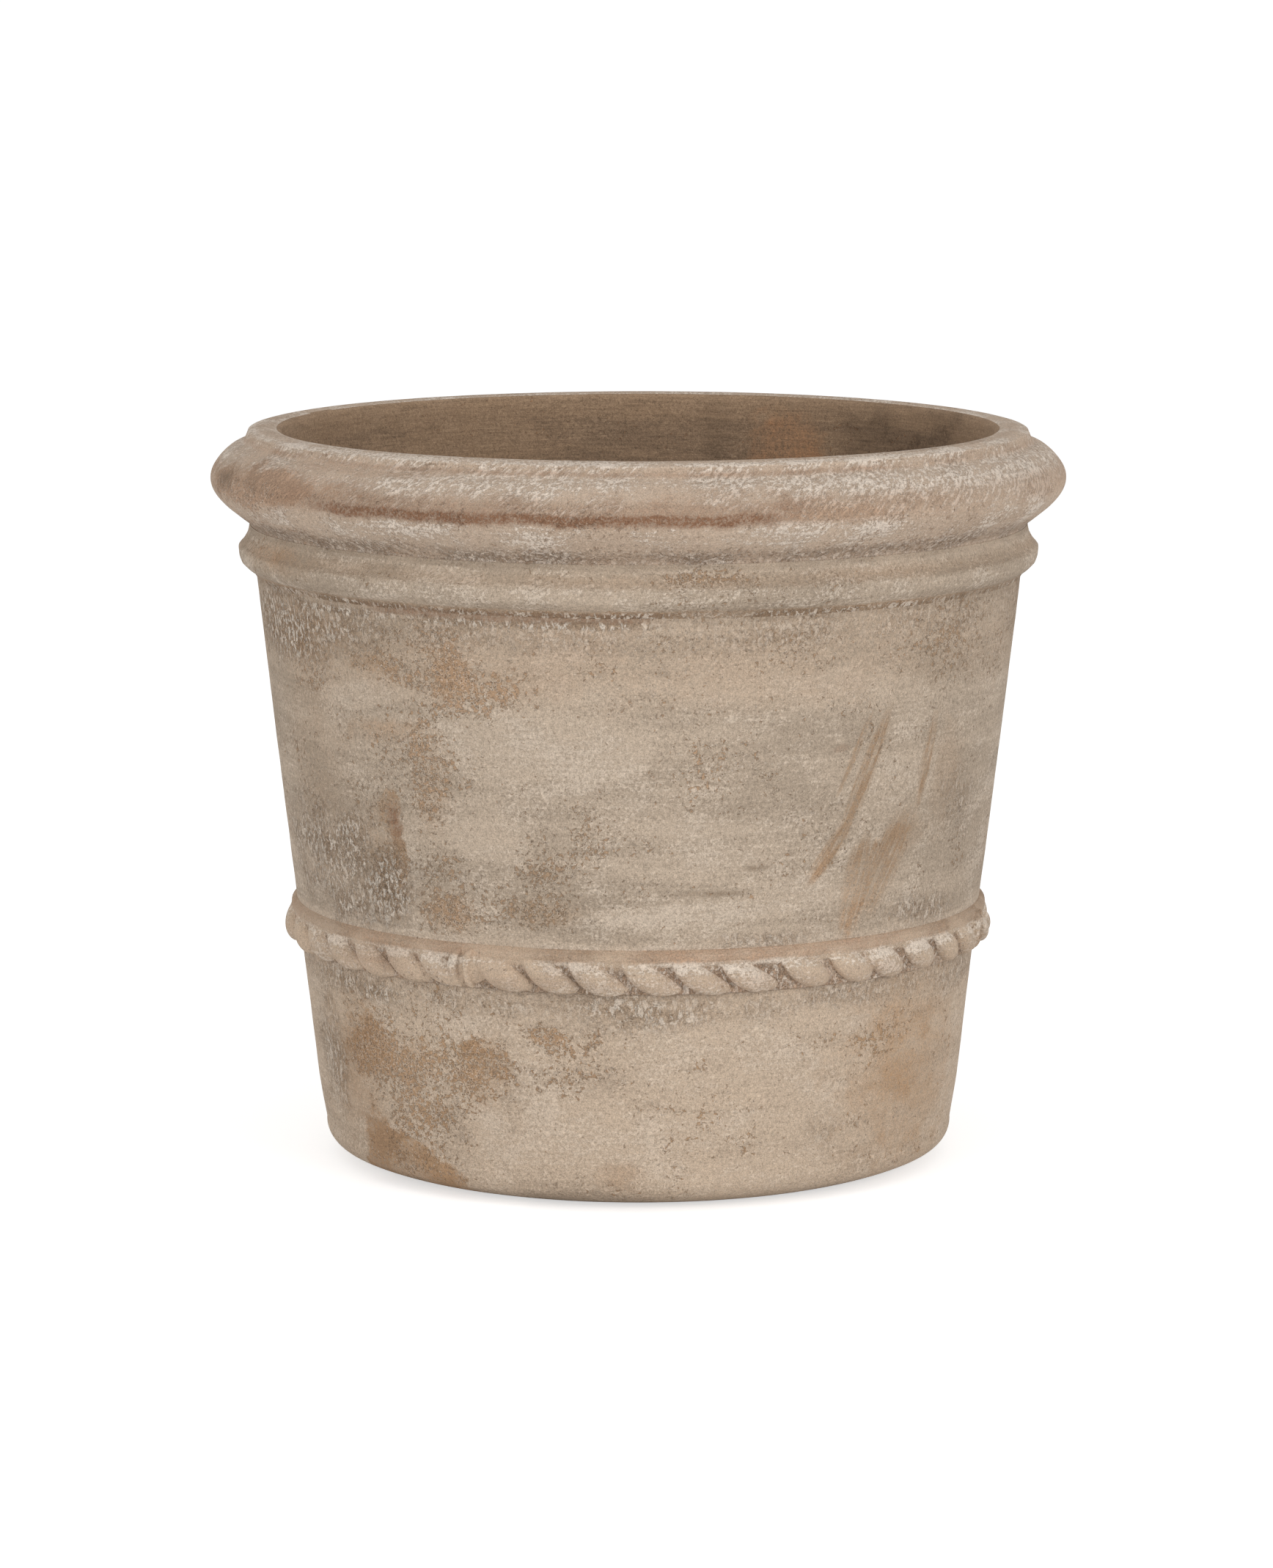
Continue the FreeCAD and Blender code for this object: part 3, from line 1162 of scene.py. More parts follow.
FOOT_PATCHES = (
    Patch(Effect.BARE, -40.0, 0.070, 36.0, 0.080, strength=0.22, softness=1.0),
    Patch(Effect.TINT, -58.0, 0.070, 15.0, 0.080, strength=0.48, softness=1.0),
    Patch(Effect.TINT, 54.0, 0.070, 24.0, 0.090, strength=0.68, softness=1.0),
    Patch(Effect.TINT, -46.5, 0.000, 14.5, 0.036, strength=0.80, softness=0.10, ragged=0.50),
    Patch(Effect.TINT, -53.5, 0.026, 6.0, 0.022, strength=0.55, softness=0.50, ragged=0.80),
    Patch(Effect.GRIME, -50.0, 0.012, 10.0, 0.022, strength=0.20, softness=0.7),
    Patch(Effect.TINT, -54.0, 0.084, 9.0, 0.026, strength=0.85, softness=0.60, ragged=1.4),
    Patch(Effect.TINT, -42.0, 0.082, 8.0, 0.018, strength=0.42, softness=0.8, ragged=1.4),
    Patch(Effect.BARE, -50.0, 0.080, 14.0, 0.034, strength=0.75, softness=1.0),
    Patch(Effect.BARE, -43.0, 0.052, 11.0, 0.030, strength=0.30, softness=1.0),
    Patch(Effect.BARE, -27.0, 0.076, 11.0, 0.036, strength=0.65, softness=1.0),
    Patch(Effect.BARE, -10.0, 0.085, 14.0, 0.024, strength=0.35, softness=1.0),
    Patch(Effect.TINT, -27.0, 0.080, 7.0, 0.026, strength=0.45, softness=0.8, ragged=1.3),
    Patch(Effect.TINT, -29.0, 0.091, 3.0, 0.008, strength=0.80, softness=0.5, ragged=1.3),
    Patch(Effect.BARE, -13.0, 0.102, 10.0, 0.012, strength=0.60, softness=0.9),
    Patch(Effect.CREAM, -8.0, 0.042, 22.0, 0.030, strength=1.2, softness=0.8),
    Patch(Effect.CREAM, 22.0, 0.020, 20.0, 0.014, strength=0.9, softness=0.8),
    Patch(Effect.CREAM, -27.0, 0.050, 6.0, 0.040, tilt=-20, strength=0.9, softness=0.8),
    Patch(Effect.CRUST, -68.0, 0.072, 9.0, 0.055, strength=0.8, softness=0.9),
    Patch(Effect.CRUST, -50.0, 0.118, 14.0, 0.010, strength=0.8, softness=0.8),
    Patch(Effect.GRIME, -63.0, 0.078, 6.0, 0.045, strength=0.15, softness=0.8),
    Patch(Effect.TINT, -3.6, 0.022, 6.0, 0.014, strength=0.40, softness=0.8),
    Patch(Effect.CRUST, 2.0, 0.114, 20.0, 0.013, strength=0.60, softness=0.8),
    Patch(Effect.CRUST, 33.4, 0.045, 5.0, 0.016, strength=0.45, softness=0.8),
    Patch(Effect.BARE, 44.0, 0.090, 14.0, 0.020, strength=0.50, softness=0.8),
    Patch(Effect.CREAM, 49.5, 0.030, 1.2, 0.030, tilt=6, strength=1.4, softness=0.5, ragged=0.3),
    Patch(Effect.BARE, 96.0, 0.070, 16.0, 0.040, strength=0.50, softness=1.0, ragged=1.5),
    Patch(Effect.TINT, 118.0, 0.038, 18.0, 0.034, strength=0.50, softness=0.9, ragged=1.4),
    Patch(Effect.CRUST, 150.0, 0.080, 20.0, 0.045, strength=0.7, softness=1.0),
    Patch(Effect.TINT, -172.0, 0.075, 12.0, 0.044, strength=0.50, softness=0.9, ragged=1.4),
    Patch(Effect.BARE, -145.0, 0.060, 17.0, 0.045, strength=0.50, softness=1.0, ragged=1.5),
    Patch(Effect.CREAM, -112.0, 0.060, 18.0, 0.030, strength=1.1, softness=0.7),
)

RIM_PATCHES = (
    Patch(Effect.TINT, -64.0, 0.404, 20.0, 0.030, strength=0.26, softness=1.0),
    Patch(Effect.TINT, -66.0, 0.404, 20.0, 0.016, strength=0.85, softness=0.8),
    Patch(Effect.TINT, -50.0, 0.411, 18.0, 0.010, strength=0.70, softness=0.8),
    Patch(Effect.BARE, -66.0, 0.398, 18.0, 0.014, strength=0.70, softness=0.8),
    Patch(Effect.GRIME, -70.0, 0.406, 14.0, 0.016, strength=0.70, softness=0.9),
    Patch(Effect.TINT, -42.0, 0.4195, 18.0, 0.0035, strength=0.60, softness=0.7),
    Patch(Effect.TINT, 8.0, 0.413, 16.0, 0.006, strength=0.45, softness=0.8),
    Patch(Effect.TINT, 26.0, 0.401, 14.0, 0.007, strength=0.30, softness=0.8),
    Patch(Effect.CREAM, 58.0, 0.408, 20.0, 0.014, strength=1.6, softness=0.9),
    Patch(Effect.RUST, -40.0, 0.412, 6.0, 0.006, strength=0.30, softness=0.9),
    Patch(Effect.RUST, 20.0, 0.406, 5.0, 0.005, strength=0.25, softness=0.9),
    Patch(Effect.RUST, 118.0, 0.402, 22.0, 0.004, strength=0.55, softness=0.7),
    Patch(Effect.TINT, 170.0, 0.405, 20.0, 0.012, strength=0.60, softness=0.8),
    Patch(Effect.RUST, -128.0, 0.403, 18.0, 0.005, strength=0.45, softness=0.7),
)

COLLAR_PATCHES = (
    Patch(Effect.GRIME, -38.0, 0.364, 4.0, 0.005, strength=0.45, softness=0.7),
    Patch(Effect.CREAM, -27.0, 0.365, 7.0, 0.006, strength=1.0, softness=0.6),
    Patch(Effect.TINT, -62.0, 0.362, 14.0, 0.012, strength=0.50, softness=0.8),
    Patch(Effect.BARE, 8.0, 0.366, 16.0, 0.006, strength=0.50, softness=0.8),
    Patch(Effect.TINT, 140.0, 0.360, 22.0, 0.010, strength=0.50, softness=0.8),
    Patch(Effect.CREAM, -130.0, 0.362, 20.0, 0.008, strength=1.0, softness=0.7),
)

ROPE_PATCHES = (
    Patch(Effect.TINT, -48.0, 0.140, 16.0, 0.014, strength=0.40, softness=0.9),
    Patch(Effect.TINT, -17.0, 0.138, 17.0, 0.014, strength=0.34, softness=0.9),
    Patch(Effect.CREAM, 44.0, 0.140, 24.0, 0.016, strength=0.60, softness=0.9),
    Patch(Effect.TINT, 150.0, 0.140, 30.0, 0.014, strength=0.34, softness=0.9),
)

INSIDE_PATCHES = (
    Patch(Effect.TINT, 153.0, 0.390, 9.0, 0.040, strength=0.85, softness=0.5, ragged=0.8),
    Patch(Effect.TINT, -152.0, 0.385, 10.0, 0.010, strength=0.50, softness=0.8),
    Patch(Effect.GRIME, 166.0, 0.400, 4.0, 0.050, strength=0.40, softness=0.9),
    # Painted shadow of the rim on the right side of the inner wall
    Patch(Effect.GRIME, 126.0, 0.385, 25.0, 0.080, strength=1.00, softness=0.9, ragged=0.6),
    Patch(Effect.GRIME, 178.0, 0.372, 22.0, 0.016, strength=0.40, softness=0.9),
    Patch(Effect.CREAM, -150.0, 0.400, 26.0, 0.018, strength=0.9, softness=0.9),
    Patch(Effect.CREAM, 102.0, 0.408, 8.0, 0.024, strength=0.5, softness=0.9),
    Patch(Effect.TINT, 20.0, 0.300, 24.0, 0.060, strength=0.60, softness=0.8),
    Patch(Effect.CREAM, -60.0, 0.200, 30.0, 0.050, strength=0.8, softness=0.8),
)


@dataclass
class TurnedPiece:
    """Shared steps of the pieces that are turned on the wheel."""

    sizes: PotSizes
    hand: HandWork
    node: str = ""
    slot: str = ""
    segments: int = 720
    crease: float = 42.0
    lip_band: float = 0.014
    skin: float = 0.004
    slab_margin: float = 0.001
    seam_step: float = 0.03

    def outline(self) -> Outline:
        """The piece's section, which each kind of piece has its own way to draw."""
        raise NotImplementedError

    def build(self, outside: bpy.types.Material, inside: bpy.types.Material) -> bpy.types.Object:
        """Turns, presses, dresses and seats the piece.

        Args:
            outside: Material of the outer faces.
            inside: Material of the faces round the hollow.

        Returns:
            The finished piece.
        """
        piece = turn_piece(f"{self.node}_clay", self.outline(), self.segments)
        self.hand.press(piece, self.sizes.height - self.lip_band)
        piece.data.materials.append(outside)
        piece.data.materials.append(inside)
        for face in piece.data.polygons:
            radius = math.hypot(face.center.x, face.center.y)
            middle = self.sizes.inner_radius(face.center.z) + self.skin
            if radius < middle and face.center.z > self.sizes.slab_top - self.slab_margin:
                face.material_index = 1
        shade_softly(piece, self.crease)
        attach(piece, BODY)
        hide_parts(self.node)
        return piece


@dataclass
class FloorSlab(TurnedPiece):
    """Round slab with the drain hole, rounded at the pot's foot."""

    node: str = "floor_slab"
    slot: str = "floor_slab"
    segments: int = 540
    bevel_rise: float = 0.007
    bevel_width: float = 0.0225
    bevel_middle: tuple[float, float] = (0.5, 0.38)
    edge_middle: tuple[float, float] = (0.8, 0.42)
    tuck: float = 0.0014
    hole_round: float = 0.0025
    hole_middle: float = 0.3
    step: float = 0.0018
    flat_step: float = 0.008
    floor_step: float = 0.006
    hole_step: float = 0.003
    corner_step: float = 0.001

    def outline(self) -> Outline:
        """Draws the slab's section.

        Returns:
            Underside, worn bevel, rounded edge, floor and hole.
        """
        sizes = self.sizes
        hole, rounding, top = sizes.drain_radius, self.hole_round, sizes.slab_top
        seat = sizes.wall_radius(top) - self.tuck
        bevel = sizes.resting_radius + self.bevel_width
        across, up = self.bevel_middle
        halfway = (sizes.resting_radius + self.bevel_width * across, self.bevel_rise * up)
        across, up = self.edge_middle
        turn = (bevel + (seat - bevel) * across, self.bevel_rise + (top - self.bevel_rise) * up)
        corner = rounding * self.hole_middle
        outline = Outline(hole + rounding, 0.0)
        outline.line_to(sizes.resting_radius, 0.0, self.flat_step)
        outline.arc_to(halfway, (bevel, self.bevel_rise), self.step)
        outline.arc_to(turn, (seat, top), self.step)
        outline.line_to(hole + rounding, top, self.floor_step)
        outline.arc_to((hole + corner, top - corner), (hole, top - rounding), self.corner_step)
        outline.line_to(hole, rounding, self.hole_step)
        outline.arc_to((hole + corner, corner), (hole + rounding, 0.0), self.corner_step)
        return outline


@dataclass
class LowerWall(TurnedPiece):
    """Wall from the slab to the middle of the rope band."""

    node: str = "lower_wall"
    slot: str = "lower_wall"
    segments: int = 600
    tuck: float = 0.0014
    tuck_height: float = 0.026
    tuck_middle: float = 0.45
    step: float = 0.0022
    inner_step: float = 0.006

    def outline(self) -> Outline:
        """Draws the wall's section.

        Returns:
            Outer face upwards and inner face downwards.
        """
        sizes = self.sizes
        low, high = sizes.slab_top, sizes.joint_level
        tuck_level = low + self.tuck_height
        middle_level = (low + tuck_level) / 2
        middle_radius = sizes.wall_radius(middle_level) - self.tuck * self.tuck_middle
        outline = Outline(sizes.wall_radius(low) - self.tuck, low)
        outline.arc_to(
            (middle_radius, middle_level), (sizes.wall_radius(tuck_level), tuck_level), self.step
        )
        outline.line_to(sizes.wall_radius(high), high, self.step)
        outline.line_to(sizes.inner_radius(high), high, self.seam_step)
        outline.line_to(sizes.inner_radius(low), low, self.inner_step)
        outline.line_to(sizes.wall_radius(low) - self.tuck, low, self.seam_step)
        return outline


@dataclass
class UpperWall(TurnedPiece):
    """Wall from the middle of the rope band to the rim's seat."""

    node: str = "upper_wall"
    slot: str = "upper_wall"
    segments: int = 600
    step: float = 0.0024
    inner_step: float = 0.007

    def outline(self) -> Outline:
        """Draws the wall's section.

        Returns:
            Outer face upwards and inner face downwards.
        """
        sizes = self.sizes
        low, high = sizes.joint_level, sizes.neck_level
        outline = Outline(sizes.wall_radius(low), low)
        outline.line_to(sizes.wall_radius(high), high, self.step)
        outline.line_to(sizes.inner_radius(high), high, self.seam_step)
        outline.line_to(sizes.inner_radius(low), low, self.inner_step)
        outline.line_to(sizes.wall_radius(low), low, self.seam_step)
        return outline


@dataclass
class RimRoll(TurnedPiece):
    """Rolled rim with a crowned lip and a fine notch outside it."""

    node: str = "rim_roll"
    slot: str = "rim_roll"
    spare: float = 0.0006
    step: float = 0.0015
    notch_step: float = 0.0012
    inner_step: float = 0.003
    roll: tuple[Point, ...] = (
        (0.0224, 0.0550),
        (0.0154, 0.0495),
        (0.0066, 0.0421),
        (0.0011, 0.0344),
        (0.0004, 0.0267),
        (0.0042, 0.0194),
        (0.0112, 0.0126),
        (0.0180, 0.0092),
    )
    notch: tuple[Point, ...] = (
        (0.0192, 0.0086),
        (0.0202, 0.0074),
        (0.0212, 0.0052),
        (0.0220, 0.0031),
    )
    lip: tuple[Point, ...] = (
        (0.0223, 0.0023),
        (0.0232, 0.0018),
        (0.0296, 0.0004),
        (0.0376, 0.0008),
        (0.0412, 0.0026),
        (0.0432, 0.0075),
    )

    def outline(self) -> Outline:
        """Draws the rim's section.

        Returns:
            Neck, roll, notch, lip and inner face.
        """
        sizes = self.sizes
        widest, crown = sizes.rim_radius - self.spare, sizes.height - self.spare

        def placed(table: tuple[Point, ...]) -> tuple[Point, ...]:
            """Points from a table of distances in from the widest point and down from the crown."""
            return tuple((widest - inward, crown - down) for inward, down in table)

        outline = Outline(sizes.inner_radius(sizes.neck_level), sizes.neck_level)
        outline.line_to(sizes.neck_radius, sizes.neck_level, self.seam_step)
        outline.curve_through(placed(self.roll), self.step)
        outline.curve_through(placed(self.notch), self.notch_step)
        outline.curve_through(placed(self.lip), self.step)
        outline.line_to(sizes.inner_radius(sizes.neck_level), sizes.neck_level, self.inner_step)
        return outline


@dataclass
class CollarMoulding(TurnedPiece):
    """Moulded ring laid on the wall under the roll."""

    node: str = "collar_moulding"
    slot: str = "collar_moulding"
    sink: float = 0.002
    ledge: float = 0.0004
    step: float = 0.0012
    hidden_step: float = 0.01
    cove: tuple[Point, ...] = (
        (0.0009, 0.0300),
        (0.0021, 0.0266),
        (0.0037, 0.0240),
        (0.0056, 0.0215),
        (0.0076, 0.0196),
    )
    nose: tuple[Point, ...] = (
        (0.0083, 0.0188),
        (0.0085, 0.0163),
        (0.0085, 0.0137),
        (0.0078, 0.0107),
    )
    chin: tuple[Point, ...] = (
        (0.0051, 0.0077),
        (0.0019, 0.0051),
        (0.0006, 0.0028),
        (-0.0004, 0.0010),
    )

    def outline(self) -> Outline:
        """Draws the collar's section.

        Returns:
            Cove, edge, nose and the turn back to the wall, closed inside the wall's clay.
        """
        sizes, step = self.sizes, self.step

        def placed(table: tuple[Point, ...]) -> tuple[Point, ...]:
            """Points from a table of distances out past the wall and up from the collar's base."""
            levels = [sizes.collar_base + up for _, up in table]
            return tuple((sizes.wall_radius(level) + out, level) for (out, _), level in zip(table, levels))

        outline = Outline(sizes.neck_radius - self.sink, sizes.neck_level)
        outline.line_to(sizes.neck_radius + self.ledge, sizes.neck_level, step)
        outline.curve_through(placed(self.cove), step)
        outline.curve_through(placed(self.nose), step)
        outline.curve_through(placed(self.chin), step)
        base = sizes.collar_base
        outline.line_to(sizes.wall_radius(base) - self.sink, base, step)
        outline.line_to(sizes.neck_radius - self.sink, sizes.neck_level, self.hidden_step)
        return outline


@dataclass(frozen=True)
class Lobe:
    """One slanted lobe of the rope: a blunt start at the upper left and a long tail at the lower right."""

    length: float = 0.0405
    width: float = 0.0142
    start_slant: float = 42.0
    end_slant: float = 6.0
    fullness: float = 0.78
    lead: float = 0.98
    flatness: float = 0.80
    roll: float = 14.0
    start_sink: float = 0.0005
    end_sink: float = 0.0026
    least_radius: float = 0.0006
    stations: int = 20
    sides: int = 24

    def radius(self, share: float) -> float:
        """Half the width at a share of the length."""
        swell = math.sin(math.pi * share**self.lead) ** self.fullness if 0 < share < 1 else 0.0
        return max(self.least_radius, self.width / 2 * swell)

    def slant(self, share: float) -> float:
        """How steeply the lobe falls at a share of its length, in radians."""
        return math.radians(self.start_slant + (self.end_slant - self.start_slant) * share)

    def spine(self) -> list[Vector]:
        """Draws the middle line, which turns from its first slant to its last.

        Returns:
            Its points, centred on the middle of its ends.
        """
        step = self.length / self.stations
        places = [Vector((0, 0, 0))]
        for index in range(self.stations):
            slant = self.slant((index + 0.5) / self.stations)
            places.append(places[-1] + Vector((step * math.cos(slant), 0, -step * math.sin(slant))))
        middle = (places[0] + places[-1]) / 2
        for index, place in enumerate(places):
            off = 2 * index / self.stations - 1
            sink = (self.start_sink if off < 0 else self.end_sink) * off * off
            place -= middle
            place.y = sink
        return places

    def model(self, along: float, level: float, out: float) -> bpy.types.Object:
        """Models the lobe by drawing a ring out along its spine.

        Args:
            along: Place of its middle along the flat strip.
            level: Height of its middle.
            out: How far its middle lies in front of the wall.

        Returns:
            The lobe, with its place applied.
        """
        start_fresh()
        places = self.spine()
        radii = [self.radius(index / self.stations) for index in range(self.stations + 1)]
        bpy.ops.mesh.primitive_circle_add(
            vertices=self.sides,
            radius=radii[0],
            fill_type="NGON",
            rotation=(0, math.radians(90), 0),
            location=places[0],
        )
        lobe = bpy.context.active_object
        bpy.ops.object.transform_apply(location=True, rotation=True, scale=True)
        bpy.ops.object.mode_set(mode="EDIT")
        bpy.ops.mesh.select_all(action="SELECT")
        bpy.ops.transform.resize(value=(1, self.flatness, 1), center_override=places[0])
        bpy.ops.transform.rotate(value=math.radians(self.roll), orient_axis="X", center_override=places[0])
        bpy.ops.transform.rotate(value=-self.slant(0.0), orient_axis="Y", center_override=places[0])
        turn = self.slant(0.0) - self.slant(1 / self.stations)
        for index in range(1, self.stations + 1):
            move = places[index] - places[index - 1]
            bpy.ops.mesh.extrude_region_move(TRANSFORM_OT_translate={"value": move})
            grow = radii[index] / radii[index - 1]
            bpy.ops.transform.resize(value=(grow, grow, grow), center_override=places[index])
            bpy.ops.transform.rotate(value=turn, orient_axis="Y", center_override=places[index])
        bpy.ops.mesh.select_all(action="SELECT")
        bpy.ops.mesh.normals_make_consistent(inside=False)
        bpy.ops.transform.translate(value=(along, -out, level))
        bpy.ops.object.mode_set(mode="OBJECT")
        return lobe


SLIM_LOBE = Lobe()
PLUMP_LOBE = Lobe(
    length=0.0370, width=0.0160, start_slant=36.0, end_slant=14.0, fullness=0.60, lead=1.04, roll=8.0
)
CURL = Lobe(0.0250, 0.0062, 138.0, 48.0, 0.45, 1.0, 1.0, 0.0, start_sink=0.0010, end_sink=0.0016)
CURL_LUMP = Lobe(0.0220, 0.0200, 10.0, 10.0, 0.50, 1.0, 0.40, 0.0, start_sink=0.0010, end_sink=0.0010)


@dataclass
class RopeStrip:
    """One press-moulded strip of the rope, numbered from 0, modelled flat and then laid round the pot."""

    sizes: PotSizes
    index: int
    lobe_count: int = 6
    seam_width: float = 0.011
    stand_out: float = 0.0090
    lobe_drop: float = 0.0012
    voxel: float = 0.00062
    overrun: float = 0.004
    first_seam: float = -28.2
    seed: int = 40
    shift_spread: float = 0.6
    length_spread: float = 0.03
    width_spread: float = 0.04
    start_slant_spread: float = 3.0
    end_slant_spread: float = 2.0
    out_spread: float = 0.0006
    level_spread: float = 0.0004
    lump_place: tuple[float, float, float] = (0.0040, -0.0006, 0.0008)
    curl_place: tuple[float, float, float] = (0.0038, -0.0004, 0.0054)
    softening: float = 0.5
    softening_rounds: int = 2
    crease: float = 60.0
    hollow_angle: float = 74.0
    proud_angle: float = 106.0
    back: tuple[Point, ...] = (
        (-0.0030, -0.0130),
        (0.0004, -0.0130),
        (0.0026, -0.0118),
        (0.0019, -0.0090),
        (0.0019, 0.0010),
        (0.0038, 0.0080),
        (0.0032, 0.0108),
        (0.0002, 0.0130),
        (-0.0030, 0.0130),
    )
    seen_shifts: tuple[tuple[int, tuple[float, ...]], ...] = (
        (0, (1.0, 0.9, 0.4, 0.9, 0.8, 0.7)),
        (1, (-0.7, 0.0, -0.9, -0.2, 0.4, 0.4)),
        (6, (1.6, 1.9, 2.2, 2.3, 2.3, 1.2)),
    )
    plump_strips: tuple[int, ...] = (1, 4)
    curled_seams: tuple[int, ...] = (0, 2, 4)

    def __post_init__(self) -> None:
        """Works out the strip's middle height, radius and length, and seeds its random draws."""
        self.middle = (self.sizes.rope_low + self.sizes.rope_high) / 2
        self.radius = self.sizes.wall_radius(self.middle)
        self.length = TAU * self.radius / STRIP_COUNT
        self.rng = random.Random(self.seed + self.index)

    def stray(self, spread: float, middle: float = 0.0) -> float:
        """A random value no further than a spread from its middle."""
        return self.rng.uniform(middle - spread, middle + spread)

    def flat_backing(self) -> bpy.types.Object:
        """Models the strip's flat backing by drawing its section out along the strip.

        Returns:
            The backing, longer than the strip by the overrun at each end.
        """
        reach = self.length / 2 + self.overrun
        first_out, first_up = self.back[0]
        backing = start_point((-reach, -first_out, first_up))
        for here, there in zip(self.back, self.back[1:]):
            move = (0, here[0] - there[0], there[1] - here[1])
            bpy.ops.mesh.extrude_region_move(TRANSFORM_OT_translate={"value": move})
        bpy.ops.mesh.select_all(action="SELECT")
        bpy.ops.mesh.edge_face_add()
        bpy.ops.mesh.extrude_region_move(TRANSFORM_OT_translate={"value": (2 * reach, 0, 0)})
        bpy.ops.mesh.select_all(action="SELECT")
        bpy.ops.mesh.normals_make_consistent(inside=False)
        bpy.ops.object.mode_set(mode="OBJECT")
        return backing

    def lobes(self) -> list[bpy.types.Object]:
        """Models the strip's lobes.

        Returns:
            The lobes, in order.
        """
        pitch = (self.length - self.seam_width) / self.lobe_count
        first = -self.length / 2 + (self.seam_width + pitch) / 2
        seen = dict(self.seen_shifts).get(self.index)
        kind = PLUMP_LOBE if self.index in self.plump_strips else SLIM_LOBE
        made = []
        for number in range(self.lobe_count):
            shift = seen[number] if seen else self.stray(self.shift_spread)
            along = first + pitch * number + math.radians(shift) * self.radius
            lobe = replace(
                kind,
                length=kind.length * self.stray(self.length_spread, 1.0),
                width=kind.width * self.stray(self.width_spread, 1.0),
                start_slant=kind.start_slant + self.stray(self.start_slant_spread),
                end_slant=kind.end_slant + self.stray(self.end_slant_spread),
            )
            sunk = self.rng.uniform(-self.out_spread, 0.0)
            out = self.stand_out - lobe.width / 2 * lobe.flatness + sunk
            made.append(lobe.model(along, -self.lobe_drop + self.stray(self.level_spread), out))
        return made

    def curls(self) -> list[bpy.types.Object]:
        """Models the curled ends of the strip, where it was pressed on to its neighbour.

        Returns:
            A low lump and a slim upright roll on it for each curled end.
        """
        made = []
        for seam, side in ((self.index, -1), (self.index + 1, 1)):
            if seam % STRIP_COUNT in self.curled_seams:
                for form, (inward, level, out) in ((CURL_LUMP, self.lump_place), (CURL, self.curl_place)):
                    made.append(form.model(side * (self.length / 2 - inward), level, out))
        return made

    def model(self) -> bpy.types.Object:
        """Models the flat strip with its lobes and fuses the clay.

        Returns:
            The flat strip, outwards facing -Y.
        """
        backing = self.flat_backing()
        pieces = [backing] + self.lobes() + self.curls()
        start_fresh()
        for piece in pieces:
            piece.select_set(True)
        bpy.context.view_layer.objects.active = backing
        bpy.ops.object.join()
        strip = bpy.context.active_object
        strip.name = f"rope_strip_{self.index + 1}_clay"
        strip.data.name = strip.name
        self.fuse(strip)
        return strip

    def fuse(self, strip: bpy.types.Object) -> None:
        """Fuses the strip's clay into one skin and trims it to the strip's length.

        Args:
            strip: The joined backing and lobes.
        """
        remesh = strip.modifiers.new("fuse", "REMESH")
        remesh.mode = "VOXEL"
        remesh.voxel_size = self.voxel
        bpy.ops.object.modifier_apply(modifier=remesh.name)
        soften = strip.modifiers.new("soften", "SMOOTH")
        soften.factor = self.softening
        soften.iterations = self.softening_rounds
        bpy.ops.object.modifier_apply(modifier=soften.name)
        bpy.ops.object.mode_set(mode="EDIT")
        for side in (-1, 1):
            bpy.ops.mesh.select_all(action="SELECT")
            bpy.ops.mesh.bisect(
                plane_co=(side * self.length / 2, 0, 0),
                plane_no=(side, 0, 0),
                clear_outer=True,
                use_fill=True,
            )
        bpy.ops.object.mode_set(mode="OBJECT")

    def mark_creases(self, strip: bpy.types.Object) -> None:
        """Writes how hollow or proud each point is to the colour attribute that the finish reads, which
        paints shade into the hollows.

        Args:
            strip: The laid strip.
        """
        start_fresh()
        strip.select_set(True)
        bpy.context.view_layer.objects.active = strip
        bpy.ops.geometry.color_attribute_add(
            name=CREASE, domain="CORNER", data_type="BYTE_COLOR", color=WHITE
        )
        bpy.ops.paint.vertex_color_dirt(
            blur_strength=1.0,
            blur_iterations=2,
            dirt_angle=math.radians(self.hollow_angle),
            clean_angle=math.radians(self.proud_angle),
            normalize=False,
        )

    def lay(self, strip: bpy.types.Object) -> None:
        """Leans the strip on the wall's slope and bends it round the pot.

        Args:
            strip: The flat strip.
        """
        start_fresh()
        strip.select_set(True)
        bpy.context.view_layer.objects.active = strip
        strip.rotation_euler = (math.atan(self.sizes.slope), 0, 0)
        bpy.ops.object.transform_apply(location=False, rotation=True, scale=False)
        bend = strip.modifiers.new("bend", "SIMPLE_DEFORM")
        bend.deform_method = "BEND"
        bend.deform_axis = "Z"
        bend.angle = strip.dimensions.x / self.radius
        bpy.ops.object.modifier_apply(modifier=bend.name)
        middle_angle = self.first_seam + (self.index + 0.5) * 360 / STRIP_COUNT
        bpy.ops.object.mode_set(mode="EDIT")
        bpy.ops.mesh.select_all(action="SELECT")
        bpy.ops.transform.translate(value=(0, -self.radius, self.middle))
        bpy.ops.object.mode_set(mode="OBJECT")
        strip.rotation_euler = (0, 0, math.radians(middle_angle))
        bpy.ops.object.transform_apply(location=True, rotation=True, scale=True)

    def build(self, clay: bpy.types.Material) -> bpy.types.Object:
        """Models, lays, dresses and seats the strip.

        Args:
            clay: Material of the rope.

        Returns:
            The finished strip.
        """
        strip = self.model()
        self.lay(strip)
        strip.data.materials.clear()
        strip.data.materials.append(clay)
        self.mark_creases(strip)
        shade_softly(strip, self.crease)
        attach(strip, BODY)
        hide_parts(f"rope_strip_{self.index + 1}")
        return strip


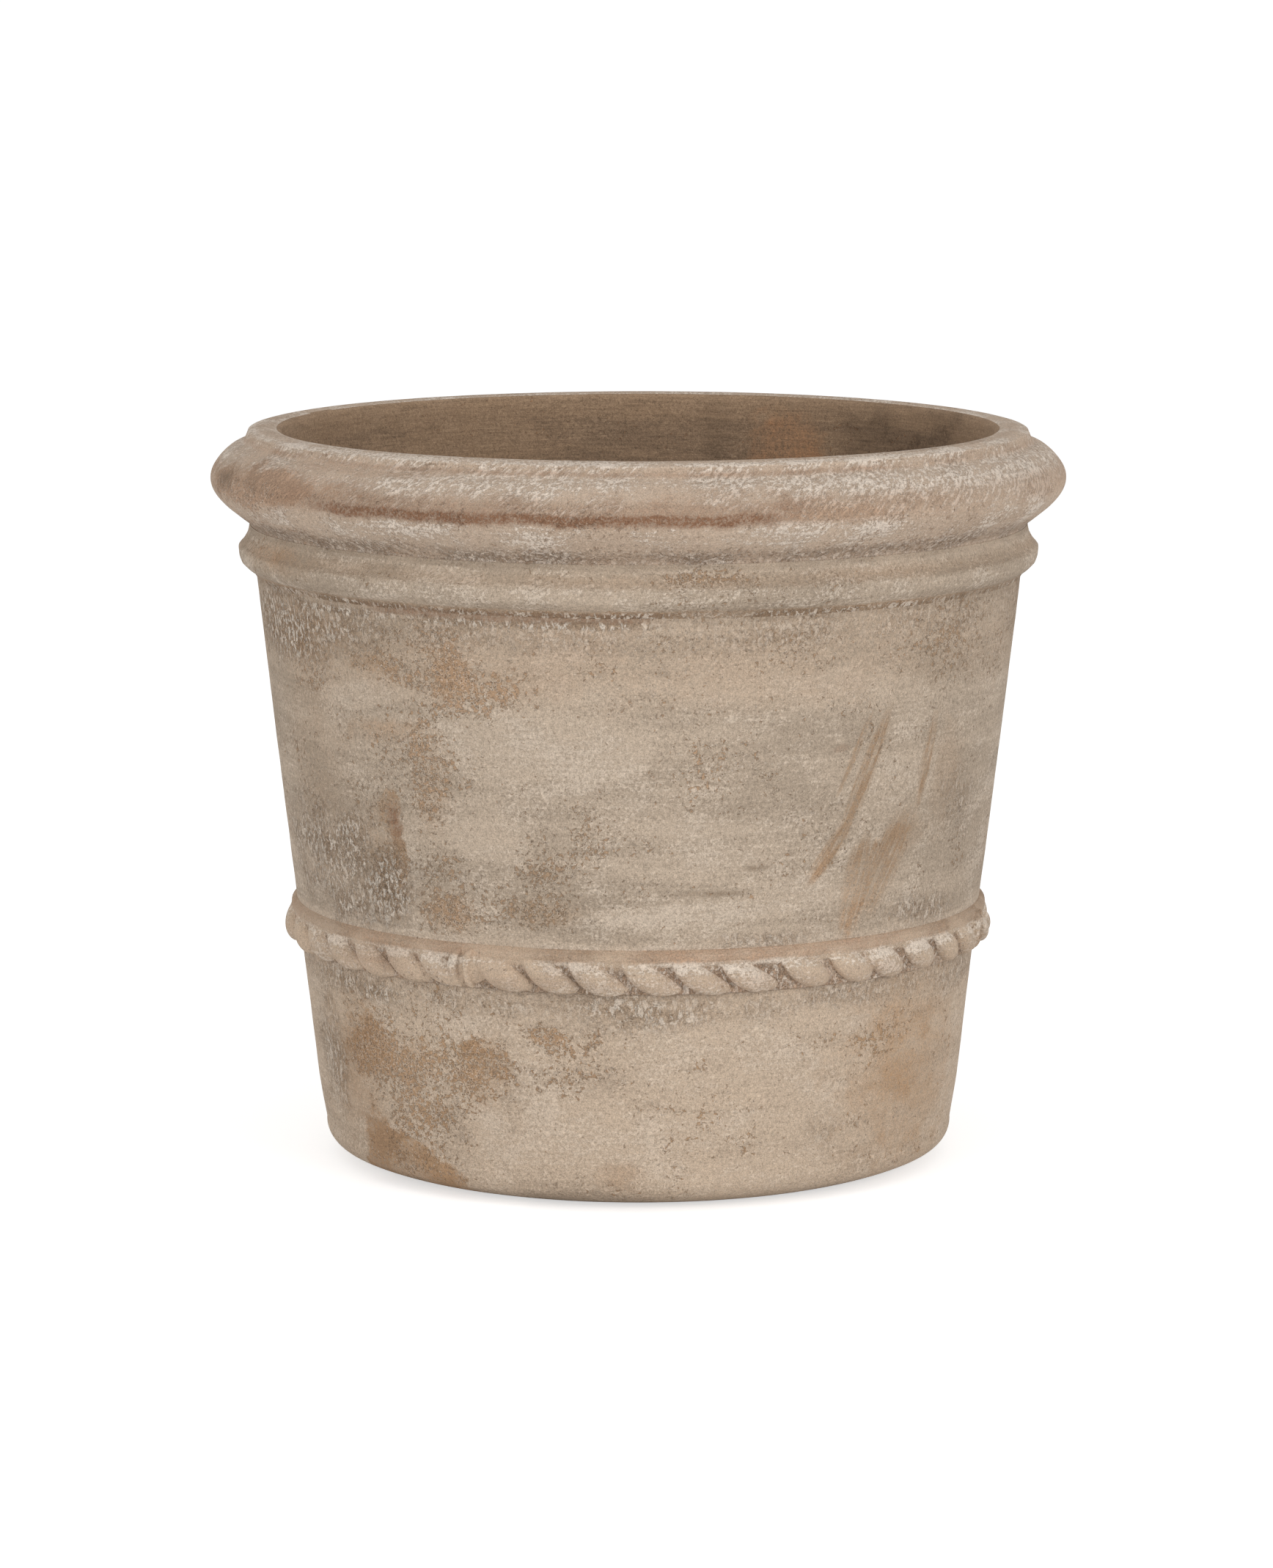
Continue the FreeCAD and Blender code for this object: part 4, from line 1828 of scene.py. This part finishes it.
@dataclass(frozen=True)
class SoftLamp:
    """A large round lamp that looks at the pot."""

    name: str
    place: tuple[float, float, float]
    power: float
    size: float = 2.2
    target: tuple[float, float, float] = (0.0, 0.0, 0.22)

    def build(self) -> None:
        """Hangs the lamp."""
        start_fresh()
        bpy.ops.object.light_add(type="AREA", location=self.place)
        lamp = bpy.context.active_object
        lamp.name = self.name
        lamp.data.energy = self.power
        lamp.data.shape = "DISK"
        lamp.data.size = self.size
        aim = Vector(self.target) - Vector(self.place)
        lamp.rotation_euler = aim.to_track_quat("-Z", "Y").to_euler()


def seen_plainly(board: Board) -> Socket:
    """Tells apart how a surface is reached.

    Args:
        board: The nodes of the surface's own material, or of the room.

    Returns:
        1 where the camera sees it, directly or by gloss or glass, and 0 where it only gives light.
    """
    rays = board.node("ShaderNodeLightPath").outputs
    seen = board.calc("MAXIMUM", rays["Is Camera Ray"], rays["Is Glossy Ray"])
    return board.calc("MAXIMUM", seen, rays["Is Transmission Ray"])


@dataclass(frozen=True)
class Studio:
    """Plain studio: a pale floor, an even white room and two large soft lamps."""

    ambient: float = 0.56
    floor_size: float = 120.0
    floor_tone: float = 0.85
    floor_roughness: float = 0.9
    floor_glow: float = 0.56
    lamps: tuple[SoftLamp, ...] = (
        SoftLamp("right_lamp", (2.45, -2.75, 1.30), 47.0),
        SoftLamp("left_lamp", (-2.35, -2.85, 1.30), 36.0),
    )

    def build(self) -> None:
        """Builds the floor, the room's light and the lamps."""
        self.build_floor()
        self.build_room()
        for lamp in self.lamps:
            lamp.build()

    def build_floor(self) -> None:
        """Lays the pale floor, which shows white and keeps the pot's shadow."""
        start_fresh()
        bpy.ops.mesh.primitive_plane_add(size=self.floor_size, location=(0, 0, 0))
        floor = bpy.context.active_object
        floor.name = "studio_floor"
        made = bpy.data.materials.new("pale_floor")
        made.use_nodes = True
        board = Board(made.node_tree)
        tone = self.floor_tone
        values = {
            "Base Color": (tone, tone, tone, 1.0),
            "Roughness": self.floor_roughness,
            "Specular IOR Level": 0.0,
            "Emission Color": WHITE,
            "Emission Strength": board.times(seen_plainly(board), self.floor_glow),
        }
        board.feed(made.node_tree.nodes["Principled BSDF"], values)
        floor.data.materials.append(made)

    def build_room(self) -> None:
        """Lights the room evenly and shows it white."""
        world = bpy.data.worlds.new("white_room")
        world.use_nodes = True
        bpy.context.scene.world = world
        board = Board(world.node_tree)
        strength = board.calc("MULTIPLY_ADD", seen_plainly(board), 1.0 - self.ambient, self.ambient)
        board.feed(world.node_tree.nodes["Background"], {"Color": WHITE, "Strength": strength})


@dataclass(frozen=True)
class PhotoCamera:
    """The photograph's camera: its place, tilt and focal length."""

    place: tuple[float, float, float] = (-0.00107, -3.561, 0.762)
    pitch: float = 8.70
    focal: float = 140.65
    frame_height: float = 36.0
    sight: float = 100.0

    def build(self) -> None:
        """Sets up the camera and makes it the scene's."""
        start_fresh()
        bpy.ops.object.camera_add(location=self.place, rotation=(math.radians(90 - self.pitch), 0, 0))
        camera = bpy.context.active_object
        camera.name = "photo_camera"
        camera.data.sensor_fit = "VERTICAL"
        camera.data.sensor_height = self.frame_height
        camera.data.lens = self.focal
        camera.data.clip_end = self.sight
        bpy.context.scene.camera = camera


def finishes(sizes: PotSizes) -> dict[str, LimewashFinish]:
    """Names each finish of the pot.

    Args:
        sizes: The pot's sizes.

    Returns:
        Each finish by its name.
    """
    neck, collar, top = sizes.neck_level, sizes.collar_base, sizes.height
    rope_low, rope_high = sizes.rope_low, sizes.rope_high
    rosy = WashColours(
        cream=(0.585, 0.455, 0.348, 1.0),
        grey=(0.500, 0.376, 0.280, 1.0),
        clay=(0.450, 0.310, 0.215, 1.0),
        orange=(0.470, 0.310, 0.210, 1.0),
        lime=(0.725, 0.622, 0.525, 1.0),
    )
    return {
        "wall": LimewashFinish(
            "limewashed_wall",
            patches=WALL_PATCHES,
            bands=(
                Band(Effect.BARE, collar - 0.050, collar + 0.004, 0.12, 0.012),
                Band(Effect.TINT, collar - 0.046, collar + 0.004, 0.24, 0.012),
                Band(Effect.CRUST, collar - 0.016, collar + 0.002, 0.35, 0.006),
                Band(Effect.RUST, collar - 0.0015, collar + 0.004, 0.75, 0.0010, -42.0, 2.0),
                # Painted shade in the crease under the collar's overhang
                Band(Effect.GRIME, collar - 0.0010, collar + 0.004, 0.35, 0.0008),
                Band(Effect.CRUST, collar - 0.0045, collar - 0.0010, 0.8, 0.0010, -60.0, 4.0),
                Band(Effect.CREAM, rope_high - 0.002, rope_high + 0.003, 0.80, 0.002),
            ),
        ),
        "foot": LimewashFinish(
            "limewashed_foot",
            patches=FOOT_PATCHES,
            bands=(Band(Effect.CRUST, rope_low - 0.014, rope_low + 0.002, 0.55, 0.006),),
            speckle=0.16,
            cream=0.22,
            tones=WashColours(
                cream=(0.590, 0.463, 0.348, 1.0),
                grey=(0.430, 0.334, 0.250, 1.0),
                clay=(0.385, 0.242, 0.142, 1.0),
                orange=(0.465, 0.295, 0.172, 1.0),
            ),
        ),
        "rim": LimewashFinish(
            "limewashed_rim",
            patches=RIM_PATCHES,
            bands=(
                Band(Effect.TINT, top - 0.033, top - 0.019, 0.50, 0.004),
                Band(Effect.RUST, top - 0.0330, top - 0.0210, 0.42, 0.0050, -54.0, 22.0),
                Band(Effect.RUST, top - 0.0338, top - 0.0278, 0.85, 0.0018, -45.0, 17.0),
                Band(Effect.TINT, top - 0.0088, top - 0.0058, 0.50, 0.0014),
                Band(Effect.RUST, top - 0.0085, top - 0.0064, 0.30, 0.0012, -50.0, 40.0),
                Band(Effect.CREAM, top - 0.058, top - 0.0345, 0.25, 0.003),
                # Painted shade on the roll's underside, in the crease over the collar
                Band(Effect.GRIME, neck + 0.001, neck + 0.006, 0.30, 0.0015),
                Band(Effect.CRUST, neck - 0.001, neck + 0.008, 0.75, 0.0025),
                Band(Effect.CREAM, top - 0.021, top - 0.0070, 1.0, 0.003),
                Band(Effect.CREAM, top - 0.0034, top - 0.0014, 1.4, 0.0004),
                Band(Effect.STROKES, top - 0.030, top - 0.0040, 1.0, 0.002),
                Band(Effect.BARE, top - 0.058, top - 0.046, 0.35, 0.003),
            ),
            speckle=0.16,
            lime=0.9,
            strokes=0.25,
            tones=rosy,
        ),
        "collar": LimewashFinish(
            "limewashed_collar",
            patches=COLLAR_PATCHES,
            bands=(
                # Painted shade in the cove under the roll
                Band(Effect.GRIME, neck - 0.003, neck + 0.003, 0.5, 0.0015),
                Band(Effect.TINT, collar + 0.020, neck - 0.006, 0.28, 0.003),
                Band(Effect.CREAM, collar + 0.008, collar + 0.0195, 0.1, 0.001),
                Band(Effect.RUST, collar - 0.002, collar + 0.0042, 0.85, 0.0008, -45.0, 2.0),
                # Painted shade in the crease where the collar meets the wall
                Band(Effect.GRIME, collar - 0.002, collar + 0.0042, 0.60, 0.0008),
                Band(Effect.TINT, collar - 0.002, collar + 0.0060, 0.75, 0.001),
                Band(Effect.CRUST, collar - 0.002, collar + 0.0052, 0.8, 0.001),
            ),
            speckle=0.02,
            lime=0.50,
            strokes=0.30,
        ),
        "rope": LimewashFinish(
            "limewashed_rope",
            patches=ROPE_PATCHES,
            bands=(
                Band(Effect.TINT, rope_high - 0.0068, rope_high + 0.002, 0.75, 0.0015),
                Band(Effect.RUST, rope_high - 0.0045, rope_high + 0.002, 0.06, 0.0015),
                Band(Effect.CREAM, rope_low + 0.0140, rope_high - 0.0065, 1.1, 0.0020),
                Band(Effect.TINT, rope_low + 0.002, rope_low + 0.0125, 0.26, 0.0030),
            ),
            speckle=0.12,
            lime=0.8,
            groove_depth=0.0024,
            groove_top=rope_high - 0.0035,
            tones=WashColours(
                cream=(0.610, 0.472, 0.350, 1.0),
                grey=(0.560, 0.418, 0.300, 1.0),
                clay=(0.410, 0.290, 0.200, 1.0),
                orange=(0.490, 0.330, 0.225, 1.0),
                lime=(0.740, 0.640, 0.540, 1.0),
            ),
        ),
        "inside": LimewashFinish(
            "bare_inside",
            patches=INSIDE_PATCHES,
            bands=(Band(Effect.CREAM, top - 0.016, top + 0.002, 0.6, 0.003),),
            speckle=0.0,
            lime=0.10,
            rings=0.9,
            tones=WashColours(
                cream=(0.342, 0.228, 0.142, 1.0),
                grey=(0.255, 0.172, 0.110, 1.0),
                clay=(0.400, 0.220, 0.118, 1.0),
                orange=(0.420, 0.225, 0.118, 1.0),
                lime=(0.440, 0.330, 0.235, 1.0),
                pit=(0.170, 0.110, 0.070, 1.0),
                # Tone for dirt, and for the painted shadow of the rim inside the pot
                grime=(0.108, 0.070, 0.043, 1.0),
            ),
        ),
    }


def main() -> None:
    """Builds the dressed planter in the frame."""
    logging.basicConfig(level=logging.INFO, format="%(message)s")
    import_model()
    sizes = PotSizes.from_frame()
    groups = Groups.build(sizes)
    made = {name: finish.material(groups) for name, finish in finishes(sizes).items()}
    hand = HandWork()
    turned = (
        (FloorSlab, "foot"),
        (LowerWall, "foot"),
        (UpperWall, "wall"),
        (RimRoll, "rim"),
        (CollarMoulding, "collar"),
    )
    for kind, finish in turned:
        piece = kind(sizes, hand).build(made[finish], made["inside"])
        LOG.info("%s: %d faces", piece.name, len(piece.data.polygons))
    for index in range(STRIP_COUNT):
        strip = RopeStrip(sizes, index).build(made["rope"])
        LOG.info("%s: %d faces", strip.name, len(strip.data.polygons))
    Studio().build()
    PhotoCamera().build()
    bpy.context.scene.view_settings.view_transform = "Standard"


if __name__ == "__main__":
    main()
